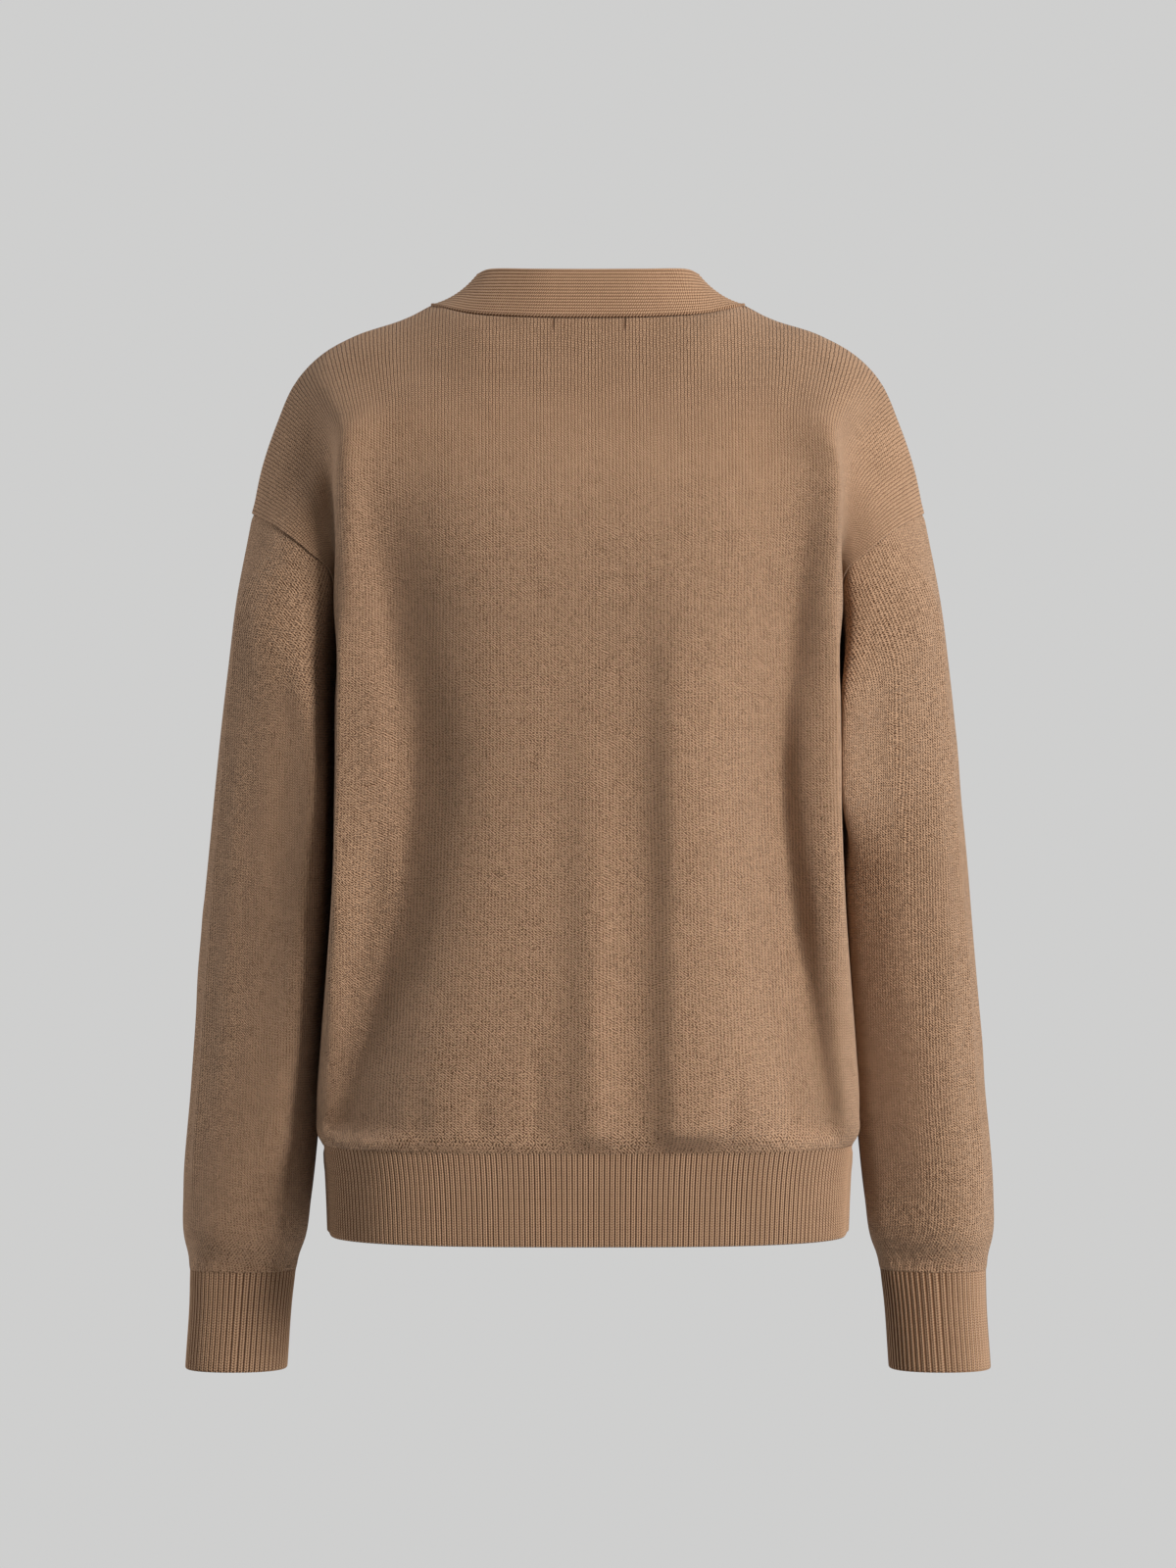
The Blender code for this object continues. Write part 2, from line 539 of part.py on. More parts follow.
def build_back(finish, rib_finish):
    neck = np.linspace(0, NECK_SHARE, NECK_COLUMNS + 1)
    shoulder = np.linspace(NECK_SHARE, 1, SHOULDER_COLUMNS + 1)
    half = np.concatenate([neck[:-1], shoulder])
    half[-1] -= HALF_GAP / HALF_PANEL
    share = np.concatenate([-half[:0:-1], half])
    grid = np.meshgrid(share, panel_rises())
    panel("back", back, *grid, KNIT_WALL, finish, way=-1)
    grid = np.meshgrid(share, RIB_RISES)
    panel("hem_rib_back", back, *grid, RIB_WALL, rib_finish, way=-1)


def build_front(hand, word, finish, rib_finish):
    def surface(share, rise):
        return front(hand, share, rise)

    def grid(rises):
        part, rise = np.meshgrid(np.linspace(0, 1, SHOULDER_COLUMNS + 1), rises)
        first = edge_share(rise) + HALF_GAP / HALF_PANEL
        last = 1 - HALF_GAP / HALF_PANEL
        return first + (last - first) * part, rise

    panel("front_" + word, surface, *grid(panel_rises()), KNIT_WALL, finish, way=hand)
    panel("hem_rib_front_" + word, surface, *grid(RIB_RISES), RIB_WALL, rib_finish, way=hand)


def build_sleeve(hand, word, finish, rib_finish):
    def surface(turn, along):
        return sleeve(hand, turn, along) * (hand, 1, 1)

    turn = np.arange(2 * ARMHOLE_ROWS) / (2 * ARMHOLE_ROWS)
    gap = HALF_GAP / SLEEVE_LENGTH
    along = np.array(SLEEVE_ALONG + (CUFF_START - gap,))
    along[0] += gap
    grid = np.meshgrid(turn, along)
    panel("sleeve_" + word, surface, *grid, KNIT_WALL, finish, way=hand, ring=True)
    grid = np.meshgrid(turn, (CUFF_START + gap,) + CUFF_ALONG)
    panel("cuff_" + word, surface, *grid, RIB_WALL, rib_finish, way=hand, ring=True)


def build_band(finish):
    runs = band_runs()
    across = np.array(BAND_COLUMNS)
    across[0] = BAND_CLEAR / BAND_WIDTH
    grid = np.meshgrid(across, runs)
    outer = {}
    inner = {}
    for hand in (1, -1):
        def surface(across, run):
            return band(hand, across, run)

        outer[hand] = surface(*grid)
        inner[hand] = outer[hand] - hand * RIB_WALL * normals(surface, *grid, 0.002)
    # The wearer's right half comes first, from its hem up to the centre back.
    outer = np.concatenate([outer[-1][:0:-1], outer[1]])
    inner = np.concatenate([inner[-1][:0:-1], inner[1]])
    middle = len(BAND_COLUMNS) // 2 - 1
    upper_ends = 1 + SHOULDER_RISE - (button_rises() + BUTTONHOLE_LENGTH / 2)
    rows = [int(np.argmin(np.abs(runs - end))) for end in upper_ends]
    holes = {(len(runs) - 2 - row, middle) for row in rows}
    wall("front_band", outer, inner, finish, holes=holes)


def build_button(number, rise, finish):
    """A button with its thread, which goes through the buttonhole to just over the under band."""
    here = body(-1, 0.0, rise)
    along = here - body(-1, 0.0, rise - BUTTON_RADIUS / 2)
    along /= np.linalg.norm(along)
    out = np.array([0.0, -along[2], along[1]])
    seat = here + out * (LAP_SHIFT + GAP)
    profile = (
        (THREAD_RADIUS, -2 * LAP_SHIFT),
        (THREAD_RADIUS, 0.0),
        (BUTTON_RADIUS - BUTTON_EDGE, 0.0),
        (BUTTON_RADIUS, BUTTON_EDGE),
        (BUTTON_RADIUS, BUTTON_THICKNESS - BUTTON_EDGE),
        (BUTTON_RADIUS - BUTTON_EDGE, BUTTON_THICKNESS),
    )
    shape = bmesh.new()
    rings = []
    for radius, height in profile:
        ring = []
        for side in range(BUTTON_SIDES):
            angle = 2 * math.pi * side / BUTTON_SIDES
            spoke = np.array([math.cos(angle), 0.0, 0.0]) + math.sin(angle) * along
            ring.append(shape.verts.new(seat + out * height + radius * spoke))
        rings.append(ring)
    for low, high in zip(rings, rings[1:]):
        for side in range(BUTTON_SIDES):
            turned = (side + 1) % BUTTON_SIDES
            shape.faces.new((low[side], low[turned], high[turned], high[side]))
    shape.faces.new(rings[0][::-1])
    shape.faces.new(rings[-1])
    bmesh.ops.recalc_face_normals(shape, faces=shape.faces)
    mesh = bpy.data.meshes.new(f"button_{number}")
    shape.to_mesh(mesh)
    shape.free()
    mesh.materials.append(finish)
    mesh.shade_smooth()
    mesh.set_sharp_from_angle(angle=math.radians(40))
    made = bpy.data.objects.new(mesh.name, mesh)
    bpy.context.scene.collection.objects.link(made)


def build_all():
    fresh_scene()
    knit = material("knit", (0.36, 0.21, 0.12), 0.85)
    rib = material("rib", (0.34, 0.20, 0.115), 0.85)
    horn = material("button_horn", (0.16, 0.08, 0.04), 0.35)
    build_back(knit, rib)
    for hand, word in ((1, "left"), (-1, "right")):
        build_front(hand, word, knit, rib)
        build_sleeve(hand, word, knit, rib)
    build_band(rib)
    for number, rise in enumerate(button_rises(), 1):
        build_button(number, rise, horn)


build_all()
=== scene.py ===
import math
from functools import partial

import bmesh
import bpy
import numpy as np
from mathutils import Matrix, Vector


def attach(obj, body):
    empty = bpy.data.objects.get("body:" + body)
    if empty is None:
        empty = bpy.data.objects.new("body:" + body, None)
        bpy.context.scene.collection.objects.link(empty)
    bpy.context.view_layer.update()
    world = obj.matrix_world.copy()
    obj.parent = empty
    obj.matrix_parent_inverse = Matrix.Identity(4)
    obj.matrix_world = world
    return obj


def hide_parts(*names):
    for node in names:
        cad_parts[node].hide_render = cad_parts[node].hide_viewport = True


# A knitted V-neck cardigan in its worn shape with nobody in it, seen from behind. Metres, +Z up.
# The origin is the middle of the neck at the height of the high shoulder points; the back faces
# +Y, the buttoned fronts -Y and +X is the wearer's left. A point on the body has a share, from 0
# at the centre line to 1 at the side seam or armhole, and a rise above the seam between body and
# hem rib. Wales are the columns of stitches and courses their rows.

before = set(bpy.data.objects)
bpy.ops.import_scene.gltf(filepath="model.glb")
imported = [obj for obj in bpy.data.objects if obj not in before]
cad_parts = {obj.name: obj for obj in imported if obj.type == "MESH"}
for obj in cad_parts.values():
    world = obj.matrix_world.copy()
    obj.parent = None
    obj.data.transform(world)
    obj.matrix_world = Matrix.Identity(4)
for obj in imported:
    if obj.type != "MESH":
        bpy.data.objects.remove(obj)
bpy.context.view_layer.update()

# ---------- camera, light and floor
MIDDLE = (0.0, 0.0, -0.3245)  # of what the camera sees
DISTANCE = 3.5
VIEW_HEIGHT = 1.064           # seen at the middle
SENSOR = 24.0


def look():
    """The camera behind the garment, level with its middle."""
    bpy.ops.object.camera_add(location=(0, DISTANCE, MIDDLE[2]), rotation=(math.pi / 2, 0, math.pi))
    made = bpy.context.object
    made.data.sensor_fit = "VERTICAL"
    made.data.sensor_height = SENSOR
    made.data.lens = SENSOR * DISTANCE / VIEW_HEIGHT
    bpy.context.scene.camera = made
    bpy.context.scene.view_settings.view_transform = "Standard"


# name, degrees from the camera towards the picture's right, degrees above the middle, distance,
# width, height, power
SOFTBOXES = (
    ("key", 44, 24, 4.2, 1.3, 1.6, 182),
    ("rim_left", -112, 10, 3.0, 1.0, 2.0, 45),
    ("rim_right", 108, 10, 3.0, 1.0, 2.0, 30),
)


def softbox(name, turn, rise, distance, width, height, power):
    turn, rise = math.radians(turn), math.radians(rise)
    away = Vector((-math.sin(turn) * math.cos(rise), math.cos(turn) * math.cos(rise), math.sin(rise)))
    bpy.ops.object.light_add(type="AREA", location=Vector(MIDDLE) + distance * away)
    made = bpy.context.object
    made.name = name
    made.rotation_euler = away.to_track_quat("Z", "Y").to_euler()
    made.data.shape = "RECTANGLE"
    made.data.size = width
    made.data.size_y = height
    made.data.energy = power


look()
for box in SOFTBOXES:
    softbox(*box)

# ---------- sizes
GAP = 0.00035             # the CAD's, at its seams; here only between a button and the band
KNIT_WALL = 0.0020        # plain knit of the panels and sleeves
RIB_WALL = 0.0030         # ribbed hem, cuffs and front band
RIB_TOP = -0.5670         # height of the seam between body and hem rib
HEM_RISE = -0.0615        # the lower edge of the hem rib
UNDERARM_RISE = 0.325
SHOULDER_RISE = 0.560
HALF_PANEL = 0.245        # width of half a panel along a course
SLEEVE_LENGTH = 0.50      # down the middle of a sleeve and its cuff
V_RISE = 0.322            # where the neckline leaves the button band
V_BEND = 0.008            # how softly it does
NECK_SHARE = 0.36         # share of a half panel's top edge that is neckline
FRONT_EDGE_SHARE = 0.0714 # where a front ends below the V, half a band from the centre line
SIDE_Y = -0.008           # the side seams, from front to back
BAND_WIDTH = 0.035
BAND_CLEAR = 0.00028      # the band's own distance from its seam line, wider where it turns up
LAP_SHIFT = 0.00175       # how far each button band lies out of, or into, the middle surface
LAP_REACH = 0.20          # shares of a half panel over which that shift fades
LAP_ENDS = (0.375, 0.455) # rises between which it fades up the V
CUFF_START = 0.873        # share of the sleeve's length where the cuff begins
BUTTON_COUNT = 6
BUTTON_RADIUS = 0.0075
BUTTON_THICKNESS = 0.0030
BUTTON_TOP_RISE = 0.303
BUTTON_BOTTOM_RISE = -0.030
THREAD_RADIUS = 0.0007
BUTTONHOLE_LENGTH = 0.017
BUTTONHOLE_WIDTH = 0.0024

# ---------- form of the body
# height, half width, depth behind and before the side seams, roundness of the back and the front,
# x of the sharp corner between back and side, and how far that corner is filled out; the last row
# is given twice, so that the sides run straight up into the underarm
BODY_SECTIONS = (
    (-0.6285, 0.1775, 0.1265, 0.1095, 2.9, 2.5, 0.1710, 0.0),
    (-0.6000, 0.1786, 0.1275, 0.1105, 2.9, 2.5, 0.1720, 0.0),
    (-0.5830, 0.1797, 0.1280, 0.1110, 2.9, 2.5, 0.1730, 0.0),
    (-0.5740, 0.1812, 0.1285, 0.1115, 2.9, 2.5, 0.1745, 0.0),
    (-0.5670, 0.1826, 0.1292, 0.1122, 2.9, 2.5, 0.1760, 0.0),
    (-0.5600, 0.1862, 0.1325, 0.1152, 2.9, 2.5, 0.1790, 0.003),
    (-0.5440, 0.1872, 0.1335, 0.1162, 3.0, 2.5, 0.1797, 0.003),
    (-0.5000, 0.1845, 0.1310, 0.1150, 3.1, 2.5, 0.1770, 0.005),
    (-0.4500, 0.1805, 0.1270, 0.1140, 3.1, 2.4, 0.1730, 0.014),
    (-0.3900, 0.1765, 0.1235, 0.1145, 3.2, 2.4, 0.1690, 0.030),
    (-0.3200, 0.1750, 0.1210, 0.1170, 3.2, 2.4, 0.1672, 0.030),
    (-0.2640, 0.1740, 0.1195, 0.1185, 3.2, 2.4, 0.1665, 0.030),
    (-0.2420, 0.1705, 0.1190, 0.1190, 3.2, 2.4, 0.1663, 0.030),
    (-0.2415, 0.1705, 0.1190, 0.1190, 3.2, 2.4, 0.1663, 0.030),
)
CORNER_INSET = 0.004      # the filling is greatest this far inside the side
CORNER_REACH = (0.014, 0.022)   # how far it reaches towards the centre and towards the side
CORNER_DEPTH = 0.096      # the corner lies this far behind the side seam
CORNER_SIDE = 0.020       # the side turns in to it over this depth, then begins to be filled out
FILLING_WAY = (0.17, 0.12)      # half axes of the oval whose normals the filling follows
CORNER_SHARE = NECK_SHARE + (1 - NECK_SHARE) * 4 / 9     # where a course of the back has it
# The yoke, a row for each course above the underarm: the rise, then x, y, z of the centre, the
# shoulder blade or chest, the crest beside the fold, the fold's edge, its pit and the armhole seam.
YOKE_BACK = (
    (0.370, (0.0, 0.110, -0.200), (0.090, 0.103, -0.200), (0.148, 0.083, -0.201),
     (0.1635, 0.080, -0.203), (0.1682, 0.038, -0.212), (0.1705, 0.016, -0.222)),
    (0.415, (0.0, 0.105, -0.156), (0.088, 0.099, -0.157), (0.146, 0.083, -0.159),
     (0.1650, 0.082, -0.163), (0.1685, 0.055, -0.175), (0.1712, 0.053, -0.186)),
    (0.462, (0.0, 0.096, -0.110), (0.084, 0.092, -0.111), (0.143, 0.081, -0.115),
     (0.1658, 0.082, -0.121), (0.1712, 0.060, -0.136), (0.1870, 0.058, -0.169)),
    (0.512, (0.0, 0.080, -0.061), (0.076, 0.077, -0.062), (0.134, 0.071, -0.070),
     (0.1645, 0.072, -0.083), (0.1745, 0.052, -0.098), (0.2090, 0.043, -0.152)),
)
YOKE_FRONT = (
    (0.370, (0.0, -0.124, -0.204), (0.090, -0.116, -0.203), (0.147, -0.087, -0.204),
     (0.1660, -0.066, -0.207), (0.1675, -0.048, -0.214), (0.1700, -0.032, -0.222)),
    (0.415, (0.0, -0.115, -0.160), (0.085, -0.109, -0.160), (0.142, -0.088, -0.161),
     (0.1650, -0.071, -0.166), (0.1670, -0.058, -0.176), (0.1710, -0.049, -0.187)),
    (0.462, (0.0, -0.098, -0.114), (0.080, -0.095, -0.112), (0.134, -0.081, -0.116),
     (0.1610, -0.070, -0.124), (0.1710, -0.061, -0.139), (0.1870, -0.051, -0.169)),
    (0.512, (0.0, -0.072, -0.068), (0.075, -0.070, -0.064), (0.126, -0.061, -0.072),
     (0.1560, -0.055, -0.086), (0.1770, -0.049, -0.106), (0.2090, -0.034, -0.152)),
)
BACK_NECK = (
    (0.0, 0.0580, -0.0130),
    (0.045, 0.0545, -0.0120),
    (0.082, 0.0400, -0.0080),
    (0.101, 0.0230, -0.0020),
    (0.1065, 0.0110, 0.0),
)
FRONT_NECK = (
    (0.0, -0.0400, -0.0300),
    (0.050, -0.0360, -0.0260),
    (0.089, -0.0160, -0.0120),
    (0.1065, 0.0110, 0.0),
)
SHOULDER_SEAM = (
    (0.1065, 0.0110, 0.0),
    (0.1262, 0.0105, -0.0102),
    (0.1590, 0.0090, -0.0220),
    (0.1775, 0.0080, -0.0320),
    (0.1970, 0.0060, -0.0510),
    (0.2115, 0.0050, -0.0820),
    (0.2215, 0.0040, -0.1120),
    (0.2275, 0.0020, -0.1415),
)

# ---------- form of the sleeves
# outer x and z, inner x and z, front y, back y, roundness: one row a ring, the last three in the
# cuff
SLEEVE_RINGS = (
    (0.2368, -0.190, 0.1700, -0.280, -0.066, 0.057, 2.6),
    (0.2445, -0.250, 0.1685, -0.322, -0.066, 0.053, 2.9),
    (0.2530, -0.328, 0.1690, -0.378, -0.062, 0.048, 2.6),
    (0.2623, -0.428, 0.1735, -0.452, -0.060, 0.040, 2.3),
    (0.2703, -0.530, 0.1810, -0.538, -0.062, 0.030, 2.1),
    (0.2762, -0.605, 0.1890, -0.607, -0.064, 0.022, 2.1),
    (0.2757, -0.633, 0.1930, -0.634, -0.062, 0.017, 2.1),
    (0.2725, -0.6480, 0.1980, -0.6480, -0.058, 0.008, 2.2),
    (0.2722, -0.6680, 0.2010, -0.6680, -0.057, 0.007, 2.2),
    (0.2755, -0.7235, 0.2055, -0.7235, -0.060, 0.006, 2.2),
)
# Where a sleeve is fuller or flatter behind, beside the body: whose, its turn and reach, the shares
# of its length where it begins, is full, fades and ends, and how far it goes back and inwards.
SLEEVE_FILLS = (
    (1, 0.16, 0.08, 0.0, 0.10, 0.60, 0.95, 0.013, 0.0),
    (1, 0.12, 0.07, 0.10, 0.25, 0.45, 0.80, 0.009, 0.0),
    (-1, 0.15, 0.08, 0.0, 0.10, 0.20, 0.34, 0.024, 0.014),
    (-1, 0.16, 0.10, 0.22, 0.36, 0.80, 0.97, -0.009, 0.0),
)
# The sleeves lie closer to the back's corners than to the sides: by how much on the wearer's left
# (1) and right, the y over which they come closer and the heights over which they stop.
CLOSER = {1: 0.0050, -1: 0.0086}
CLOSER_BEHIND = (0.03, 0.07)
CLOSER_ABOVE = (-0.43, -0.35)
# A sleeve lies beside the body along a surface that leans outwards to the back.
TOUCH_SLOPE = 0.08
TOUCH_INSET = 0.0019
TOUCH_MIDDLE = 0.030      # y where it is that far inside the body's widest line
TOUCH_GAP = 0.0006        # from it to each of the two
TOUCH_SOFTNESS = 0.0015
BODY_TOUCHES = ((-0.242, -0.256), (-0.580, -0.560))    # heights where the touch begins and is full
SLEEVE_TOUCHES = ((0.0, 0.05), (-0.600, -0.570))       # the same, the first in shares of its length

# ---------- folds
# Side +1 back or -1 front; x and z of the upper end, the middle and the lower end; how far below
# its upper end a fold is full; its reach towards the centre and the side; its height, below 0 in
# a trough.
BODY_FOLDS = (
    (1, 0.173, -0.086, 0.171, -0.120, 0.170, -0.158, 0.04, 0.008, 0.012, -0.0075),
    (1, 0.145, -0.100, 0.124, -0.260, 0.168, -0.562, 0.15, 0.036, 0.018, -0.0185),
    (1, 0.112, -0.230, 0.117, -0.360, 0.160, -0.555, 0.09, 0.032, 0.012, -0.0085),
    (1, 0.1350, -0.280, 0.1330, -0.345, 0.127, -0.430, 0.04, 0.005, 0.008, 0.0010),
    (1, -0.150, -0.085, -0.127, -0.325, -0.160, -0.562, 0.19, 0.034, 0.012, -0.0135),
    (1, -0.128, -0.250, -0.128, -0.330, -0.140, -0.425, 0.07, 0.028, 0.010, -0.0080),
    (1, -0.164, -0.120, -0.159, -0.330, -0.170, -0.530, 0.11, 0.016, 0.014, 0.0105),
    (1, -0.003, -0.190, -0.003, -0.400, -0.003, -0.640, 0.34, 0.015, 0.014, 0.0080),
    (1, -0.057, -0.150, -0.058, -0.400, -0.060, -0.640, 0.18, 0.015, 0.052, 0.0125),
    (1, 0.034, -0.480, 0.034, -0.520, 0.034, -0.585, 0.04, 0.007, 0.007, -0.0025),
    (1, -0.094, -0.500, -0.094, -0.530, -0.094, -0.585, 0.04, 0.008, 0.008, -0.0026),
    (1, -0.133, -0.500, -0.133, -0.530, -0.133, -0.585, 0.03, 0.006, 0.006, -0.0022),
    (1, 0.072, -0.500, 0.072, -0.530, 0.072, -0.585, 0.04, 0.008, 0.008, -0.0020),
    (1, 0.112, -0.505, 0.112, -0.530, 0.112, -0.585, 0.03, 0.007, 0.007, -0.0022),
    (-1, 0.112, -0.150, 0.116, -0.330, 0.122, -0.560, 0.11, 0.030, 0.018, -0.0110),
    (-1, -0.116, -0.160, -0.112, -0.330, -0.118, -0.560, 0.11, 0.028, 0.018, -0.0130),
    (-1, 0.062, -0.290, 0.066, -0.420, 0.064, -0.560, 0.11, 0.012, 0.014, -0.0060),
    (-1, -0.058, -0.270, -0.064, -0.420, -0.068, -0.560, 0.11, 0.014, 0.012, -0.0070),
    (-1, 0.090, -0.500, 0.090, -0.530, 0.090, -0.585, 0.04, 0.008, 0.008, -0.0024),
    (-1, -0.092, -0.500, -0.092, -0.530, -0.092, -0.585, 0.04, 0.008, 0.008, -0.0024),
)
FOLD_FOOT = (-0.0825, 0.0275)   # it begins and is full this far above its lower end
RIB_FADE = 0.017          # every fold is gathered away this close to the rib
FOLD_SIDES = (0.72, 0.88) # and between these shares, before the side seam or armhole
# Sleeve folds: turn and share of the length at the upper end, the middle and the lower end; reach
# in turns to the lower and the higher turn; height.
SLEEVE_FOLDS = (
    (0.395, 0.02, 0.400, 0.40, 0.400, 0.80, 0.020, 0.010, 0.0016),
    (0.425, 0.02, 0.430, 0.40, 0.430, 0.80, 0.014, 0.018, -0.0010),
    (0.905, 0.05, 0.900, 0.40, 0.895, 0.80, 0.016, 0.016, 0.0012),
    (0.330, 0.10, 0.300, 0.35, 0.280, 0.60, 0.040, 0.040, -0.0012),
    (0.700, 0.10, 0.720, 0.35, 0.700, 0.70, 0.040, 0.050, -0.0016),
)
SLEEVE_FOLD_ENDS = 0.10   # share of the length over which each comes up and dies away

# ---------- where the band's free edge runs
# share of the back neck from the centre to the shoulder, then x, y, z and how hollow the band is
BAND_TOP = (
    (0.00, 0.0, 0.0450, 0.0212, 0.0005),
    (0.35, 0.0360, 0.0425, 0.0216, 0.0008),
    (0.68, 0.0650, 0.0270, 0.0232, 0.0020),
    (1.00, 0.0745, 0.0010, 0.0225, 0.0035),
)
HOLLOW_WAY = (-0.40, -0.20, -0.90)
BAND_TOP_SLOPE = (0.1, 0.0, 0.0, 0.0)   # at the centre back
BAND_SETTLES = (0.430, 0.555)  # rises between which it leaves the front's surface for that edge

# ---------- grids
SHARES = np.linspace(0, 1, 241)
CURVE_STEPS = 400
NEAR_SEAM = (0.0004, 0.001, 0.002, 0.0035, 0.0055, 0.0080)    # metres from an edge


def spaced(start, end, step):
    """Even steps of about that size from start to end, both included."""
    return np.linspace(start, end, max(2, round(abs(end - start) / step) + 1))


def with_edges(start, end, step, scale=1.0, first=True, last=True):
    """Steps from start to end, with closer ones near the ends that are seams. A step and the
    distances are in metres, and scale is what one unit of the result measures in metres."""
    near = np.array(NEAR_SEAM) / scale
    low = start + near if first else np.array([])
    high = end - near if last else np.array([])
    reach = NEAR_SEAM[-1] / scale
    middle = spaced(start + reach * first, end - reach * last, step / scale)
    return np.unique(np.concatenate([[start], low, middle, high, [end]]).round(9))


# ---------- curves
def rising(value, start, end):
    """Smoothly from 0 where the value is start to 1 where it is end."""
    t = np.clip((value - start) / (end - start), 0, 1)
    return t * t * (3 - 2 * t)


def swelling(off, reach, height):
    """A soft ridge of that height, or below 0 a trough, at the distance off from its middle."""
    return height * np.exp(-((off / reach) ** 2))


def between(values):
    """The value midway between each one and the next."""
    return (values[:-1] + values[1:]) / 2


def slopes(knots, rows, first=None, last=None):
    """The slope of the smooth curve through rows[k] at knots[k], at each knot."""
    spans = np.diff(knots).reshape((-1,) + (1,) * (rows.ndim - 1))
    steps = np.diff(rows, axis=0) / spans
    found = np.empty_like(rows)
    found[1:-1] = (steps[:-1] * spans[1:] + steps[1:] * spans[:-1]) / (spans[1:] + spans[:-1])
    found[0] = steps[0] if first is None else first
    found[-1] = steps[-1] if last is None else last
    return found


def blend(t, span, start, start_slope, end, end_slope):
    """A point of a smooth curve, the share t of the span from start to end."""
    start = (2 * t**3 - 3 * t**2 + 1) * start + (t**3 - 2 * t**2 + t) * span * start_slope
    return start + (3 * t**2 - 2 * t**3) * end + (t**3 - t**2) * span * end_slope


def hermite(knots, rows, at, first=None, last=None):
    """The smooth curve through rows[k] at knots[k], read at each value of at."""
    knots, rows, at = (np.asarray(given, float) for given in (knots, rows, at))
    slope = slopes(knots, rows, first, last)
    k = np.clip(np.searchsorted(knots, at, side="right") - 1, 0, len(knots) - 2)
    wide = (-1,) + (1,) * (rows.ndim - 1)
    span = np.diff(knots)[k].reshape(wide)
    t = (at - knots[k]).reshape(wide) / span
    return blend(t, span, rows[k], slope[k], rows[k + 1], slope[k + 1])


def lengths(curve):
    """The distance along a curve at each of its points."""
    return np.concatenate([[0], np.cumsum(np.linalg.norm(np.diff(curve, axis=0), axis=1))])


def through(points):
    """A dense smooth curve through points; at the first it runs straight across the centre line."""
    points = np.asarray(points, float)
    knots = lengths(points)
    first = np.array([1.0, 0.0, 0.0]) if points[0, 0] == 0 else None
    return hermite(knots, points, np.linspace(0, knots[-1], CURVE_STEPS), first=first)


def evenly(curve, shares):
    """Points at the given shares of a curve's length."""
    run = lengths(curve)
    return np.stack([np.interp(shares * run[-1], run, curve[:, i]) for i in range(3)], axis=1)


# ---------- form
def pressed(x, limit, way, share):
    """x moved that share of the way to where it is kept below the limit, way -1, or above it,
    way 1, with a soft turn."""
    over = x - limit
    kept = limit + (over + way * np.sqrt(over * over + 4 * TOUCH_SOFTNESS**2)) / 2
    return x + share * (kept - x)


def cornered(curve, corner):
    """A course of the back at SHARES; its point nearest to the corner is at CORNER_SHARE."""
    run = lengths(curve)
    nearest = np.argmin(np.linalg.norm(curve - corner, axis=1))
    return evenly(curve, np.interp(SHARES, (0, CORNER_SHARE, 1), (0, run[nearest] / run[-1], 1)))


def section(row, side):
    """Half a body section, from the centre line round to the side seam."""
    height, half_width, back, front, back_round, front_round, corner, filling = row
    depth, roundness = (back, back_round) if side > 0 else (front, front_round)
    angle = np.linspace(0, math.pi / 2, CURVE_STEPS)
    x = half_width * np.sin(angle) ** (2 / roundness)
    y = SIDE_Y + side * depth * np.cos(angle) ** (2 / roundness)
    if side > 0:
        off = x - (half_width - CORNER_INSET)
        reach = np.where(off < 0, *CORNER_REACH)
        way = np.stack([x / FILLING_WAY[0] ** 2, (y - SIDE_Y) / FILLING_WAY[1] ** 2])
        way *= swelling(off, reach, filling) / np.linalg.norm(way, axis=0)
        inner = SIDE_Y + CORNER_SIDE
        behind = rising(y, SIDE_Y, inner)
        x, y = np.array([x, y]) + way * rising(y, inner, inner + CORNER_SIDE)
        limit = half_width - (half_width - corner) * (y - SIDE_Y) / CORNER_DEPTH
        x = pressed(x, limit, -1, behind)
    curve = np.stack([x, y, np.full_like(x, height)], axis=1)
    if side > 0:
        return cornered(curve, (corner, SIDE_Y + CORNER_DEPTH, height))
    return evenly(curve, SHARES)


def half_body(side):
    """The courses of half the back, side 1, or half the front, side -1, from the hem to the shoulder."""
    rises = [row[0] - RIB_TOP for row in BODY_SECTIONS]
    rows = [section(row, side) for row in BODY_SECTIONS]
    for rise, *points in YOKE_BACK if side > 0 else YOKE_FRONT:
        rises.append(rise)
        curve = through(points)
        rows.append(cornered(curve, points[3]) if side > 0 else evenly(curve, SHARES))
    neck = through(BACK_NECK if side > 0 else FRONT_NECK)
    neck = evenly(neck, SHARES[SHARES <= NECK_SHARE] / NECK_SHARE)
    beyond = SHARES[SHARES > NECK_SHARE] - NECK_SHARE
    seam = evenly(through(SHOULDER_SEAM), beyond / (1 - NECK_SHARE))
    rises.append(SHOULDER_RISE)
    rows.append(np.concatenate([neck, seam]))
    return np.array(rises), np.array(rows)


HALVES = {side: half_body(side) for side in (1, -1)}
YOKE_TOP = YOKE_BACK[-1][0]
# The slope across the shoulder seam, the same for front and back from near the centre outwards.
OVER_SHOULDER = (HALVES[-1][1][-2] - HALVES[1][1][-2]) / (2 * (SHOULDER_RISE - YOKE_TOP))
SHOULDER_PART = rising(SHARES, 0.10, NECK_SHARE)[:, None]
COURSE_LENGTHS = [lengths(row)[-1] for row in HALVES[-1][1]]


def half_slopes(side):
    rises, rows = HALVES[side]
    onwards = (rows[-1] - rows[-2]) / (SHOULDER_RISE - YOKE_TOP)
    last = side * OVER_SHOULDER * SHOULDER_PART + onwards * (1 - SHOULDER_PART)
    return slopes(rises, rows, last=last)


HALF_SLOPES = {side: half_slopes(side) for side in (1, -1)}


